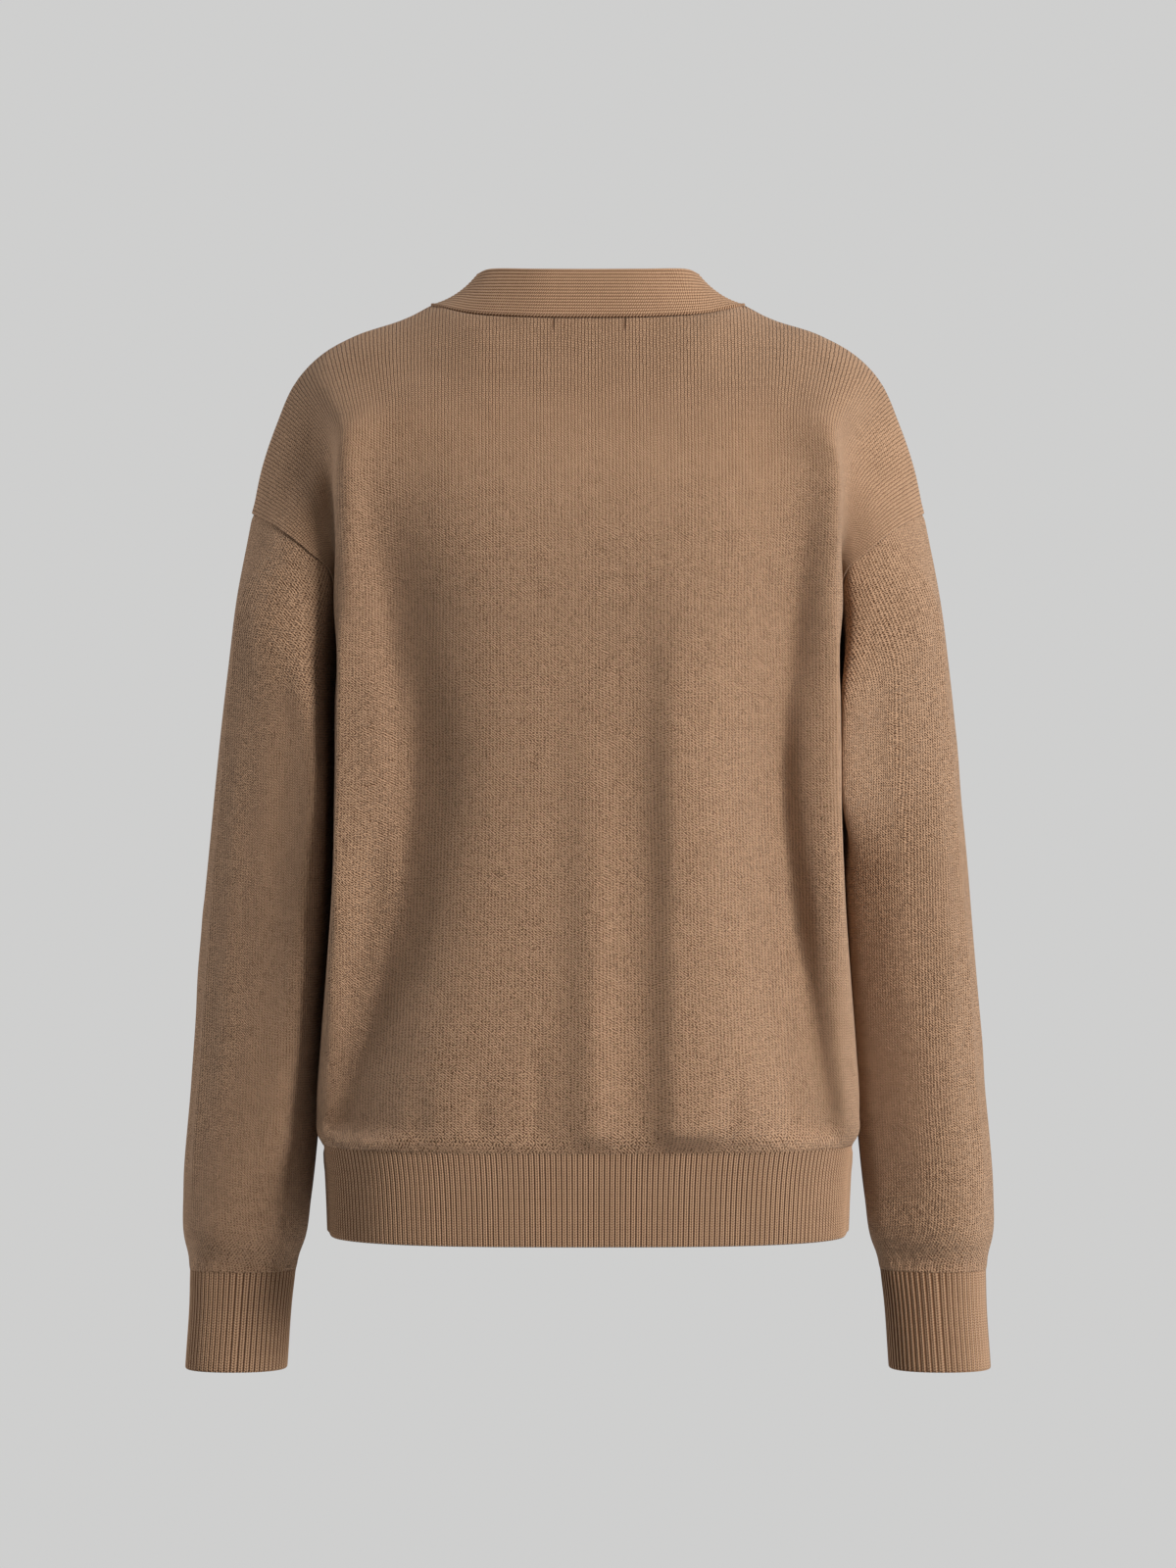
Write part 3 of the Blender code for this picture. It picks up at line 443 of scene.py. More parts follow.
def touch(y, z):
    """x of the surface between a sleeve and the body, on the wearer's left."""
    heights = [row[0] for row in BODY_SECTIONS[:-2]]
    widths = [row[1] for row in BODY_SECTIONS[:-2]]
    return np.interp(z, heights, widths) - TOUCH_INSET + TOUCH_SLOPE * (y - TOUCH_MIDDLE)


def fold_height(side, x, z):
    """How far the folds lift the surface at points of the body."""
    total = np.zeros_like(x)
    for face, *place, head, to_centre, to_side, height in BODY_FOLDS:
        if face != side:
            continue
        x0, z0, x1, z1, x2, z2 = place
        line = hermite((-z0, -z1, -z2), ((x0,), (x1,), (x2,)), -z.ravel()).reshape(z.shape)
        off = (x - line) * math.copysign(1, x1)
        reach = np.where(off > 0, to_side, to_centre)
        ends = rising(z - z0, 0, -head) * rising(z - z2, *FOLD_FOOT)
        total += swelling(off, reach, height * ends)
    return total * rising(z, RIB_TOP, RIB_TOP + RIB_FADE)


def body(side, share, rise):
    """Points of the body at matching arrays of shares, below 0 on the wearer's right, and rises."""
    share, rise = np.broadcast_arrays(np.asarray(share, float), np.asarray(rise, float))
    rises, rows = HALVES[side]
    at = np.clip(np.abs(share), 0, 1) * (len(SHARES) - 1)
    low = np.minimum(at.astype(int), len(SHARES) - 2)
    part = (at - low)[..., None]

    def read(table, level):
        return table[level, low] * (1 - part) + table[level, low + 1] * part

    k = np.clip(np.searchsorted(rises, rise, side="right") - 1, 0, len(rises) - 2)
    span = (rises[k + 1] - rises[k])[..., None]
    t = (rise - rises[k])[..., None] / span
    slope = HALF_SLOPES[side]
    points = blend(t, span, read(rows, k), read(slope, k), read(rows, k + 1), read(slope, k + 1))
    x, y, z = points[..., 0], points[..., 1], points[..., 2]
    hand = np.where(share < 0, -1.0, 1.0)
    y = y + side * fold_height(side, x * hand, z) * (1 - rising(np.abs(share), *FOLD_SIDES))
    beside = rising(z, *BODY_TOUCHES[0]) * rising(z, *BODY_TOUCHES[1])
    x = pressed(x, touch(y, z) - TOUCH_GAP, -1, beside)
    return np.stack([x * hand, y, z], axis=-1)


def edge_share(rise):
    """Where a front ends: straight up beside the buttons, then along the V to the shoulder."""
    above = rise - V_RISE
    above = above + np.hypot(above, V_BEND)
    top = SHOULDER_RISE - V_RISE
    top = top + math.hypot(top, V_BEND)
    return FRONT_EDGE_SHARE + (NECK_SHARE - FRONT_EDGE_SHARE) * above / top


def lap(hand, share, rise):
    """How far the wearer's right front, hand -1, comes forward to lap over the left one."""
    near = 1 - rising(np.abs(share) - edge_share(rise), 0, LAP_REACH)
    return hand * LAP_SHIFT * near * (1 - rising(rise, *LAP_ENDS))


def front(hand, share, rise):
    """The front on the wearer's left, hand 1, or right; shares below 0 lie past the centre line."""
    points = body(-1, hand * share, rise)
    points[..., 1] += lap(hand, share, rise)
    return points


def back(share, rise):
    return body(1, share, rise)


# ---------- sleeves
def apart(turn, other):
    """How far one turn is past the other, the shorter way round."""
    return (turn - other + 0.5) % 1 - 0.5


def around(turn):
    """The armhole seam at each turn: 0 the underarm, 0.25 the back, 0.5 the shoulder tip."""
    turn = turn % 1
    knots = [UNDERARM_RISE, *(row[0] for row in YOKE_BACK), SHOULDER_RISE]
    rise = np.interp(np.minimum(turn, 1 - turn) * 2, np.linspace(0, 1, len(knots)), knots)
    one = np.ones_like(turn)
    return np.where((turn <= 0.5)[:, None], back(one, rise), body(-1, one, rise))


def sleeve(hand, turn, along):
    """Points of a sleeve at matching grids of turns and shares along it, both on the left."""
    angle = 2 * math.pi * turn[0]
    rings = [around(turn[0])]
    for out_x, out_z, in_x, in_z, front_y, back_y, roundness in SLEEVE_RINGS:
        across = -np.sign(np.cos(angle)) * np.abs(np.cos(angle)) ** (2 / roundness)
        deep = np.sign(np.sin(angle)) * np.abs(np.sin(angle)) ** (2 / roundness)
        x = (out_x + in_x) / 2 + (out_x - in_x) / 2 * across
        y = (front_y + back_y) / 2 + (back_y - front_y) / 2 * deep
        z = (out_z + in_z) / 2 + (out_z - in_z) / 2 * across
        rings.append(np.stack([x, y, z], axis=1))
    rings = np.array(rings)
    middle = np.array([0.5 * (ring.min(axis=0) + ring.max(axis=0)) for ring in rings])
    run = lengths(middle)
    points = hermite(run / run[-1], rings, along[:, 0])
    x, y, z = points[..., 0], points[..., 1], points[..., 2]
    for whose, place, reach, begins, full, fades, ends, backwards, inwards in SLEEVE_FILLS:
        if whose == hand:
            level = rising(along, begins, full) * (1 - rising(along, fades, ends))
            level = swelling(apart(turn, place), reach, level)
            y = y + backwards * level
            x = x - inwards * level
    beside = rising(along, *SLEEVE_TOUCHES[0]) * rising(z, *SLEEVE_TOUCHES[1])
    limit = touch(y, z) + TOUCH_GAP
    limit = limit - CLOSER[hand] * rising(y, *CLOSER_BEHIND) * rising(z, *CLOSER_ABOVE)
    x = pressed(x, limit, 1, beside)
    return np.stack([x, y, z], axis=-1)


# ---------- front band
def band(hand, across, run):
    """Points of the band on one side, at matching grids of across, 0 at the seam and 1 at the free
    edge, and run: 0 to 1 from the centre back to the shoulder, then 1 + the depth below it."""
    neck = np.clip(run, 0, 1)
    rise = SHOULDER_RISE - np.maximum(run - 1, 0)
    share = edge_share(rise)
    course = np.interp(rise, HALVES[-1][0], COURSE_LENGTHS)
    step = 0.002
    lean = course * (edge_share(rise + step) - edge_share(rise - step)) / (2 * step)
    out = across * BAND_WIDTH / np.sqrt(1 + lean * lean)
    lying = body(-1, hand * (share - out / course), np.minimum(rise + out * lean, SHOULDER_RISE))
    lying[..., 1] += lap(hand, share, rise)

    down_front = (run > 1)[..., None]
    round_neck = back(hand * neck * NECK_SHARE, SHOULDER_RISE)
    seam = np.where(down_front, front(hand, share, rise), round_neck)
    knots = [row[0] for row in BAND_TOP]
    top = hermite(knots, [row[1:] for row in BAND_TOP], neck.ravel(), first=BAND_TOP_SLOPE)
    top = top.reshape(neck.shape + (4,))
    hollow = 4 * across * (1 - across) * top[..., 3]
    reach = (np.array(BAND_TOP[-1][1:4]) - SHOULDER_SEAM[0]) * (hand, 1, 1)
    free = np.where(down_front, seam + reach, top[..., :3] * (hand, 1, 1))
    standing = seam + (free - seam) * across[..., None]
    standing += hollow[..., None] * np.array(HOLLOW_WAY) * (hand, 1, 1)
    leaves = rising(rise, *BAND_SETTLES)[..., None]
    return standing * leaves + lying * (1 - leaves)


def button_rises():
    """The rises of the buttons, from the top one down."""
    return np.linspace(BUTTON_TOP_RISE, BUTTON_BOTTOM_RISE, BUTTON_COUNT)


# ---------- relief of the knit
WALES = 118               # on half a panel
UPRIGHT_SPREAD = 0.665    # share of an upright wale as far out as the side seam is at the rib
WALES_STRAIGHTEN = (-0.36, -0.07)       # heights between which they turn upright
CAP_BEGINS = (0.30, 0.80)               # shares between which they follow the armhole again
WALE_WIDTH = 0.00205      # on the sleeves
SLEEVE_WAY = (0.14, -0.04, -1.0)        # down a sleeve; its courses lie straight across this way
COURSE = 0.00167          # from one course to the next
HEM_RIBS = 75             # on half a panel
CUFF_RIBS = 58
BAND_RIDGES = 16
HOLE_SHARE = BUTTONHOLE_WIDTH / BAND_WIDTH
RIB_PHASES = (0.0, 0.12, 0.3, 0.5, 0.7, 0.88)   # where the columns of a rib lie across it
RIDGE_PHASES = (0.0, 0.2, 0.4, 0.6, 0.8)        # and those of a ridge of the band
RIB_DEPTH = 0.0010
RIB_ROUNDNESS = 0.6
RIB_SINK = (0.12, 0.32)   # reach and depth of the middle of a rib, as shares of its width and depth
RIDGE_DEPTH = 0.00045
RIDGE_ROUNDNESS = 0.7
ROLL_WIDTH = 0.055        # of the band: the linked edge beside its seam
ROLL_HEIGHT = 0.0006
SEAM = 0.00003            # from each piece to its seam line; the CAD's gap is wider
SLEEVE_TUCK = 0.0002      # how far a sleeve is taken in under its armhole seam
PANEL_EDGE = 0.0006       # radii of the rounded edges
RIB_EDGE = 0.0014
STEP = 0.0031             # between rows and columns of a plain panel
RISE_STEP = STEP * 0.94   # between the rows of the body
RIB_STEP = 0.0065         # between the rows of hem and cuffs
SLEEVE_COLUMNS = 144
FRONT_WIDTH = 0.93 * HALF_PANEL
SLEEVE_ROUND = 0.29       # metres of cloth round a sleeve, for its dents
HEM_CLEAR = 0.001         # share from a front's edge to its first even column of the hem
CORNER_STEPS = (0.002, 0.0045, 0.0075, 0.0115, 0.0165)  # columns to each side of the back's corner
CORNER_CLEAR = 0.004      # from these to the nearest of the even ones, as a share
# Reach and height of the relief beside a seam, below 0 where it is sunk.
SIDE_RELIEF = (0.0016, -0.0006)
ARMHOLE_RELIEF = (0.0045, 0.0006)
ARMHOLE_BEGINS = (UNDERARM_RISE - 0.004, UNDERARM_RISE + 0.010)     # where one becomes the other
SHOULDER_RELIEF = (0.0016, -0.0005)
SLEEVE_TOP_RELIEF = (0.0024, -0.0008)
GATHER_REACH = 0.011      # of the gathers above the hem rib
GATHER_HEIGHT = 0.00045
GATHER_WIDTH = 0.0011
GATHER_SWAY = (0.009, 1.5)      # how often they come closer together, and by how much
CUFF_GATHERS = 31         # round a sleeve, above its cuff
CUFF_GATHER_REACH = 0.009
CUFF_GATHER_HEIGHT = 0.0004
CUFF_SMOOTH = (-0.001, 0.004)   # distances from the cuff over which a sleeve's relief comes up
# Dents: how many a piece has and how deep, their width, length over width and lean.
DENTS = 150
DENT_HEIGHT = 0.00032
DENT_WIDTHS = (0.006, 0.018)
DENT_LENGTHS = (1.0, 3.0)
DENT_LEANS = (-0.4, 0.4)
BACK_SEED = 11            # of the dents; a hand, 1 or -1, is added to the other two
FRONT_SEED = 20
SLEEVE_SEED = 30
# The fabric is eased into one curve this near the high shoulder point, in shares, above these rises.
EASED_REACH = 0.07
EASED_ABOVE = (0.47, 0.53)
EASING = 0.8              # share of the way to the mean of a point's neighbours, in each round
EASING_ROUNDS = 60
# How clear the stitches are, from 0 felted to 1: on the body, high up on it, on the dropped
# shoulders, on the sleeves and, by reach and amount, at their seam.
BODY_CRISP = 0.15
CRISP_ABOVE = (-0.20, -0.03)            # heights
CAP_CRISP = 0.8
CAP_CRISP_SHARES = (0.72, 0.84)
CAP_CRISP_RISES = (0.36, 0.41)
SLEEVE_CRISP = 0.10
SLEEVE_TOP_CRISP = (0.03, 0.30)


def rib(phase):
    """The height, 0 to 1, of a rib across its width, with its middle a little sunk."""
    phase = phase % 1
    return np.sin(np.pi * phase) ** RIB_ROUNDNESS - swelling(phase - 0.5, *RIB_SINK)


def drawn_in(distance, radius):
    """How far each face of a wall with a rounded edge turns in at that distance from the edge."""
    near = np.clip(1 - distance / radius, 0, 1)
    return radius * (1 - np.sqrt(1 - near * near))


def uneven(seed, across, up):
    """Soft shallow dents and swellings, as hand-smoothed knit has, over a piece in metres."""
    random = np.random.default_rng(seed)
    total = np.zeros_like(across)
    for _ in range(DENTS):
        x = random.uniform(across.min(), across.max())
        y = random.uniform(up.min(), up.max())
        wide = random.uniform(*DENT_WIDTHS)
        long = wide * random.uniform(*DENT_LENGTHS)
        lean = random.uniform(*DENT_LEANS)
        off = (across - x) + lean * (up - y)
        dent = np.exp(-((off / wide) ** 2) - ((up - y) / long) ** 2)
        total += random.normal(0, DENT_HEIGHT) * dent
    return total


def facing(points, ring=False):
    """Unit normals of a grid, to the side from which its columns turn left towards its rows."""
    if ring:
        points = np.concatenate([points[:, -1:], points, points[:, :1]], axis=1)
    normal = np.cross(np.gradient(points, axis=1), np.gradient(points, axis=0))
    normal /= np.linalg.norm(normal, axis=-1, keepdims=True)
    return normal[:, 1:-1] if ring else normal


# ---------- walls
SQUARE = ((0, 0), (0, 1), (1, 1), (1, 0))


def wall(name, outer, inner, wales, courses, finishes, ring=False, holes=None, crisp=None):
    """A closed wall between two grids, finishes being those of its right and its wrong side. The
    UV map "knit" counts wales and courses; "crisp" is how clear the stitches are."""
    rows, columns = outer.shape[:2]
    squares = np.ones((rows - 1, columns - (not ring)), bool)
    if holes is not None:
        squares &= ~holes
    beyond = np.pad(squares, 1)
    if ring:
        beyond[:, 0] = beyond[:, -2]
        beyond[:, -1] = beyond[:, 1]
    row, column = np.nonzero(squares)
    one = np.ones(4, int)
    sets = [
        (row, column, SQUARE, 0 * one),
        (row, column, SQUARE[::-1], one),
    ]
    neighbours = (beyond[:-2, 1:-1], beyond[1:-1, 2:], beyond[2:, 1:-1], beyond[1:-1, :-2])
    for a, b, neighbour in zip(SQUARE, SQUARE[1:] + SQUARE[:1], neighbours):
        sets.append((*np.nonzero(squares & ~neighbour), (b, a, a, b), np.array((0, 0, 1, 1))))
    rows_at = np.concatenate([r[:, None] + [p[0] for p in places] for r, c, places, layer in sets])
    columns_at = np.concatenate([c[:, None] + [p[1] for p in places] for r, c, places, layer in sets])
    layers = np.concatenate([np.tile(layer, (len(r), 1)) for r, c, places, layer in sets])
    corners = (layers * rows + rows_at) * columns + columns_at % columns
    mesh = bpy.data.meshes.new(name)
    points = np.concatenate([outer.reshape(-1, 3), inner.reshape(-1, 3)])
    mesh.vertices.add(len(points))
    mesh.vertices.foreach_set("co", points.ravel())
    mesh.loops.add(corners.size)
    mesh.loops.foreach_set("vertex_index", corners.ravel())
    mesh.polygons.add(len(corners))
    mesh.polygons.foreach_set("loop_start", np.arange(0, corners.size, 4))
    mesh.polygons.foreach_set("material_index", layers.min(axis=1))
    mesh.update(calc_edges=True)
    place = np.stack([wales[rows_at, columns_at], courses[rows_at, columns_at]], axis=-1)
    mesh.uv_layers.new(name="knit").data.foreach_set("uv", place.ravel())
    if crisp is not None:
        mark = mesh.attributes.new("crisp", "FLOAT", "POINT")
        mark.data.foreach_set("value", np.concatenate([crisp.ravel()] * 2))
    for finish in finishes:
        mesh.materials.append(finish)
    mesh.shade_smooth()
    unused = np.flatnonzero(np.bincount(corners.ravel(), minlength=len(points)) == 0)
    if len(unused):
        loose(mesh, unused)
    made = bpy.data.objects.new(name, mesh)
    bpy.context.scene.collection.objects.link(made)
    return made


def loose(mesh, unused):
    """Takes out the points that no face uses, in the middle of a buttonhole."""
    shape = bmesh.new()
    shape.from_mesh(mesh)
    shape.verts.ensure_lookup_table()
    bmesh.ops.delete(shape, geom=[shape.verts[i] for i in unused], context="VERTS")
    shape.to_mesh(mesh)
    shape.free()


def cloth(piece, node):
    """Hangs the piece from the root in place of the CAD node, which is hidden."""
    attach(piece, "root")
    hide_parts(node)


# ---------- shader maths
class Value:
    """An output of a node. Sums, differences and products of it add Math nodes to its finish."""

    def __init__(self, finish, socket):
        self.finish = finish
        self.socket = socket

    def math(self, operation, *others):
        terms = dict(enumerate((self,) + others))
        return self.finish.node("ShaderNodeMath", {"operation": operation}, terms)

    def __add__(self, other):
        return self.math("ADD", other)

    def __mul__(self, other):
        return self.math("MULTIPLY", other)

    def __sub__(self, other):
        return self.math("SUBTRACT", other)

    def __rsub__(self, other):
        return self * -1 + other

    def __abs__(self):
        return self.math("ABSOLUTE")

    __radd__ = __add__
    __rmul__ = __mul__

    def part(self):
        """What is left over whole numbers."""
        return self.math("FRACT")

    def wave(self):
        """The sine of that many whole turns."""
        return (self * (2 * math.pi)).math("SINE")

    def rising(self, start, end):
        """Smoothly from 0 at start to 1 at end."""
        settings = {"interpolation_type": "SMOOTHSTEP"}
        sockets = {"Value": self, "From Min": start, "From Max": end}
        return self.finish.node("ShaderNodeMapRange", settings, sockets)


class Finish:
    """A material being made; place is its object coordinates."""

    def __init__(self, name):
        self.material = bpy.data.materials.new(name)
        self.material.use_nodes = True
        self.material.node_tree.nodes.clear()
        self.place = self.node("ShaderNodeTexCoord", {}, {}, "Object")

    def node(self, kind, settings, sockets, output=0):
        """Adds a node: its settings first, then the values or links of its sockets."""
        made = self.material.node_tree.nodes.new(kind)
        for name, value in settings.items():
            setattr(made, name, value)
        for key, value in sockets.items():
            if isinstance(value, Value):
                self.material.node_tree.links.new(value.socket, made.inputs[key])
            else:
                made.inputs[key].default_value = value
        return Value(self, made.outputs[output]) if made.outputs else None

    def noise(self, scale, detail=2.0, roughness=0.5, vector=None):
        """Noise from 0 to 1, over the place unless a vector is given."""
        vector = self.place if vector is None else vector
        sockets = {"Vector": vector, "Scale": scale, "Detail": detail, "Roughness": roughness}
        return self.node("ShaderNodeTexNoise", {}, sockets)

    def swing(self, *of_noise, **more):
        """Noise to both sides of 0."""
        return self.noise(*of_noise, **more) - 0.5

    def fluff(self):
        """The finest hairs of the yarn, to both sides of 0."""
        return self.swing(2300.0, 3.0, 0.7)

    def counts(self):
        """The wale and the course at each point, as numbers and as one vector."""
        vector = self.node("ShaderNodeUVMap", {"uv_map": "knit"}, {})
        wale, course = (self.node("ShaderNodeSeparateXYZ", {}, {0: vector}, k) for k in (0, 1))
        return wale, course, vector

    def stretched(self, vector, x, y, z=1.0):
        """A vector with its three parts multiplied by x, y and z."""
        return self.node("ShaderNodeVectorMath", {"operation": "MULTIPLY"}, {0: vector, 1: (x, y, z)})

    def mix(self, share, first, second):
        """A colour the share of the way from the first to the second."""
        sockets = {0: share, 6: first, 7: second}
        return self.node("ShaderNodeMix", {"data_type": "RGBA"}, sockets, 2)

    def done(self, colour, roughness, height=None, depth=0.0, sheen=0.0):
        """Ends the material in its surface, with bumps of that height times that depth."""
        sockets = {
            "Base Color": colour,
            "Roughness": roughness,
            "Sheen Weight": sheen,
            "Sheen Roughness": 0.45,
            "Sheen Tint": (1.0, 0.84, 0.68, 1.0),
            "Specular IOR Level": 0.25,
        }
        if height is not None:
            bump = {"Height": height, "Distance": depth, "Strength": 1.0}
            sockets["Normal"] = self.node("ShaderNodeBump", {}, bump)
        surface = self.node("ShaderNodeBsdfPrincipled", {}, sockets)
        self.node("ShaderNodeOutputMaterial", {}, {"Surface": surface})
        return self.material


PAINTED_SHADE = (0.120, 0.052, 0.022, 1.0)      # painted shade between the stitches and in the pulls under the neck
YARN = (0.352, 0.196, 0.105, 1.0)
# painted highlight on the crests of the stitches, and the yarn's own paler places
PALE_AND_HIGHLIT_YARN = (0.560, 0.338, 0.203, 1.0)
HORN = ((0.055, 0.026, 0.013, 1.0), (0.17, 0.09, 0.045, 1.0), (0.34, 0.21, 0.12, 1.0))
THREAD = ((0.12, 0.062, 0.033, 1.0), (0.24, 0.14, 0.085, 1.0))
FLOOR = ((0.60, 0.60, 0.60, 1.0), (0.66, 0.66, 0.655, 1.0))
NECK_TACKS = ((10.1, 335.0), (-10.9, 335.0))    # wale and top course of each pull under the neck, sunk and darkened with painted shade
TACK_LENGTH = (8, 5)      # courses below its top at which a pull begins and is full
TACK_WIDTH = (0.55, 0.15)       # wales from its middle, the same
TACK_LEAN = 0.03


def stitch(wale, course, lean, middle, border):
    """The height of crisp stocking stitch: the two legs of a V on each wale, with grooves as deep
    as middle between the legs and as border between wales."""
    across = abs(wale.part() - 0.5)
    along = (course - across * lean).part() * 2 - 1
    plump = (along * along) * -1.1 + 0.75
    return plump - across.rising(0.20, 0.0) * middle - across.rising(0.26, 0.5) * border


def felt(finish, wale, course):
    """The height of felted stocking stitch: slanting legs, this way in one patch and that way in
    the next."""
    patch = finish.noise(420.0, 1.0).rising(0.40, 0.60)
    falling = (course + wale).wave()
    climbing = (course - wale).wave()
    upright = wale.wave() + course.wave()
    return (falling * patch + climbing * (1 - patch)) * 1.2 + upright * 0.55


def shaded_yarn_colour(finish, height, vector, clear):
    """The yarn's colour, with painted shade between stitches and painted highlight on them, mottled by
    thick and thin places.
    """
    patches = finish.swing(38.0, 3.0) * 0.25
    slubs = finish.swing(1.0, vector=finish.stretched(vector, 0.05, 0.9)) * 0.30
    hairs = finish.swing(1400.0, 2.0, 0.7) * clear * 0.5
    # painted shade and highlight: darker where the stitches sink, lighter where they rise
    depth = (height.rising(-1.1, 1.1) - 0.5) * clear + 0.42
    tone = depth + hairs + slubs + patches
    yarn = finish.mix(tone.rising(0.45, 1.05), YARN, PALE_AND_HIGHLIT_YARN)
    # painted shade in the grooves between stitches, and in the darkest places of the yarn
    return finish.mix(tone.rising(0.50, 0.0), yarn, PAINTED_SHADE)


def plain_finish(name, tacks=False):
    """Stocking stitch, felted where it isn't crisp, with painted shade between stitches. The back has
    two short pulls under its neck, where the seam's ends are caught down, darkened with painted shade."""
    finish = Finish(name)
    straight, lengthwise, vector = finish.counts()
    crisp = finish.node("ShaderNodeAttribute", {"attribute_name": "crisp"}, {}, "Fac")
    wale = straight + finish.swing(300.0) * 0.5
    course = lengthwise + finish.swing(380.0) * 0.9
    cords = stitch(wale, course, lean=1.25, middle=0.30, border=1.2)
    tufts = finish.swing(260.0) * 1.8
    specks = finish.swing(760.0, 1.0) * 3.0
    legs = felt(finish, wale, course) + tufts + specks + 0.6
    height = (cords + 0.1) * crisp + legs * (1 - crisp)
    # painted shade between the stitches and painted highlight on them
    colour = shaded_yarn_colour(finish, height, vector, 2.2 - crisp * 0.85)
    for wale_place, course_place in NECK_TACKS if tacks else ():
        beside = abs(straight - wale_place + (lengthwise - course_place) * TACK_LEAN)
        ends = lengthwise.rising(*(course_place - below for below in TACK_LENGTH))
        shaded_pull = beside.rising(*TACK_WIDTH) * ends
        # painted shade in the hollow of each pull
        colour = finish.mix(shaded_pull * 0.8, colour, PAINTED_SHADE)
        height = height - shaded_pull * 1.5
    relief = height * (crisp * 0.35 + 0.65) + finish.fluff() * 0.9
    return finish.done(colour, roughness=0.92, height=relief, depth=0.00045, sheen=0.22)


def wrong_side_finish():
    """Reverse stocking stitch: rows of small interlocking arcs."""
    finish = Finish("reverse_knit_camel")
    wale, course, vector = finish.counts()
    height = (course + wale.wave() * 0.22).wave()
    # painted shade between the arcs and painted highlight on them
    colour = shaded_yarn_colour(finish, height, vector, 0.8)
    relief = height * 0.6 + finish.fluff() * 0.5
    return finish.done(colour, roughness=0.95, height=relief, depth=0.00035, sheen=0.2)


def rib_finish():
    """One by one rib: a wale of Vs on every rib and a groove between ribs, darkened with painted shade."""
    finish = Finish("rib_knit_camel")
    wale, course, vector = finish.counts()
    sway = finish.swing(300.0)
    wale = wale + sway * 0.08
    course = course + sway * 0.5
    height = stitch(wale, course, lean=1.3, middle=0.95, border=1.6) + 0.35
    # painted shade in the grooves and painted highlight on the ribs
    colour = shaded_yarn_colour(finish, height, vector, 1.6)
    relief = height + finish.fluff() * 0.6
    return finish.done(colour, roughness=0.92, height=relief, depth=0.0004, sheen=0.2)


def band_finish():
    """The band: fine ridges along it, each of small slanted stitches, and a linked edge."""
    finish = Finish("band_knit_camel")
    wale, course, vector = finish.counts()
    sway = finish.swing(300.0)
    across = (wale + sway * 0.10).part()
    ridge = (across * 0.5).wave()
    slant = (course + across * 0.8 + sway * 0.4).part() * 2 - 1
    plump = 1 - slant * slant
    linked = wale.rising(0.95, 0.80)
    coarse = (course * 0.75 + wale * 1.1).part() * 2 - 1
    height = (ridge * 0.55 + plump * 0.75) * (1 - linked) + (1 - coarse * coarse) * linked
    # painted shade between the ridges and stitches, painted highlight on them
    colour = shaded_yarn_colour(finish, height * 2.2 - 1.75, vector, 1.6)
    relief = height + finish.fluff() * 0.6
    return finish.done(colour, roughness=0.92, height=relief, depth=0.00035, sheen=0.2)


def horn_finish():
    """Brown horn: darker and lighter streaks, polished on the face."""
    finish = Finish("horn_brown")
    cloud = finish.noise(260.0, 4.0, 0.6, finish.stretched(finish.place, 1.0, 1.0, 0.25))
    grain = finish.noise(1500.0, vector=finish.stretched(finish.place, 1.0, 1.0, 0.10))
    tone = cloud + (grain - 0.5) * 0.35
    dark = finish.mix(tone.rising(0.35, 0.62), *HORN[:2])
    colour = finish.mix(tone.rising(0.60, 0.80), dark, HORN[2])
    return finish.done(colour, roughness=grain * 0.2 + 0.24, height=grain, depth=0.00004)


def thread_finish():
    finish = Finish("sewing_thread_brown")
    twist = finish.noise(5000.0, 1.0)
    return finish.done(finish.mix(twist, *THREAD), roughness=0.8, height=twist, depth=0.0001)


def floor_finish():
    """A pale matt floor that thins out to nothing at its edge."""
    finish = Finish("floor_pale")
    far = finish.node("ShaderNodeVectorMath", {"operation": "LENGTH"}, {0: finish.place}, "Value")
    sockets = {"Base Color": finish.mix(finish.noise(3.0, 3.0), *FLOOR), "Roughness": 0.8}
    solid = finish.node("ShaderNodeBsdfPrincipled", {}, sockets)
    clear = finish.node("ShaderNodeBsdfTransparent", {}, {})
    both = finish.node("ShaderNodeMixShader", {}, {0: far.rising(1.3, 2.4), 1: solid, 2: clear})
    finish.node("ShaderNodeOutputMaterial", {}, {"Surface": both})
    return finish.material


# ---------- pieces
HAND_WORDS = ((1, "left"), (-1, "right"))


def turned(way, *grids):
    """The grids with their columns in the other order where way is -1."""
    return [grid[:, ::way] for grid in grids]


def seam_relief(to_side, to_rib, to_top, rise):
    """A panel's surface beside its seams: sunk at the side seam, raised over the armhole and
    softly gathered just above the rib."""
    over = rising(rise, *ARMHOLE_BEGINS)
    relief = swelling(to_side, *SIDE_RELIEF) * (1 - over)
    relief += swelling(to_side, *ARMHOLE_RELIEF) * over
    relief += swelling(to_top, *SHOULDER_RELIEF)
    how_often, how_much = GATHER_SWAY
    gathers = np.sin(to_side / GATHER_WIDTH + how_much * np.sin(to_side / how_often))
    return relief + swelling(to_rib, GATHER_REACH, GATHER_HEIGHT * gathers)


def upright_wales(side, share, points):
    """The wale at each point. Below the armhole, and beside its seam, wales follow the shares;
    on the shoulder blades and the chest they run straight up to the shoulder."""
    upright = np.abs(points[..., 0]) / body(side, 1.0, 0.0)[0] * UPRIGHT_SPREAD
    here = rising(points[..., 2], *WALES_STRAIGHTEN) * (1 - rising(np.abs(share), *CAP_BEGINS))
    return (np.abs(share) * (1 - here) + upright * here) * np.sign(share) * WALES


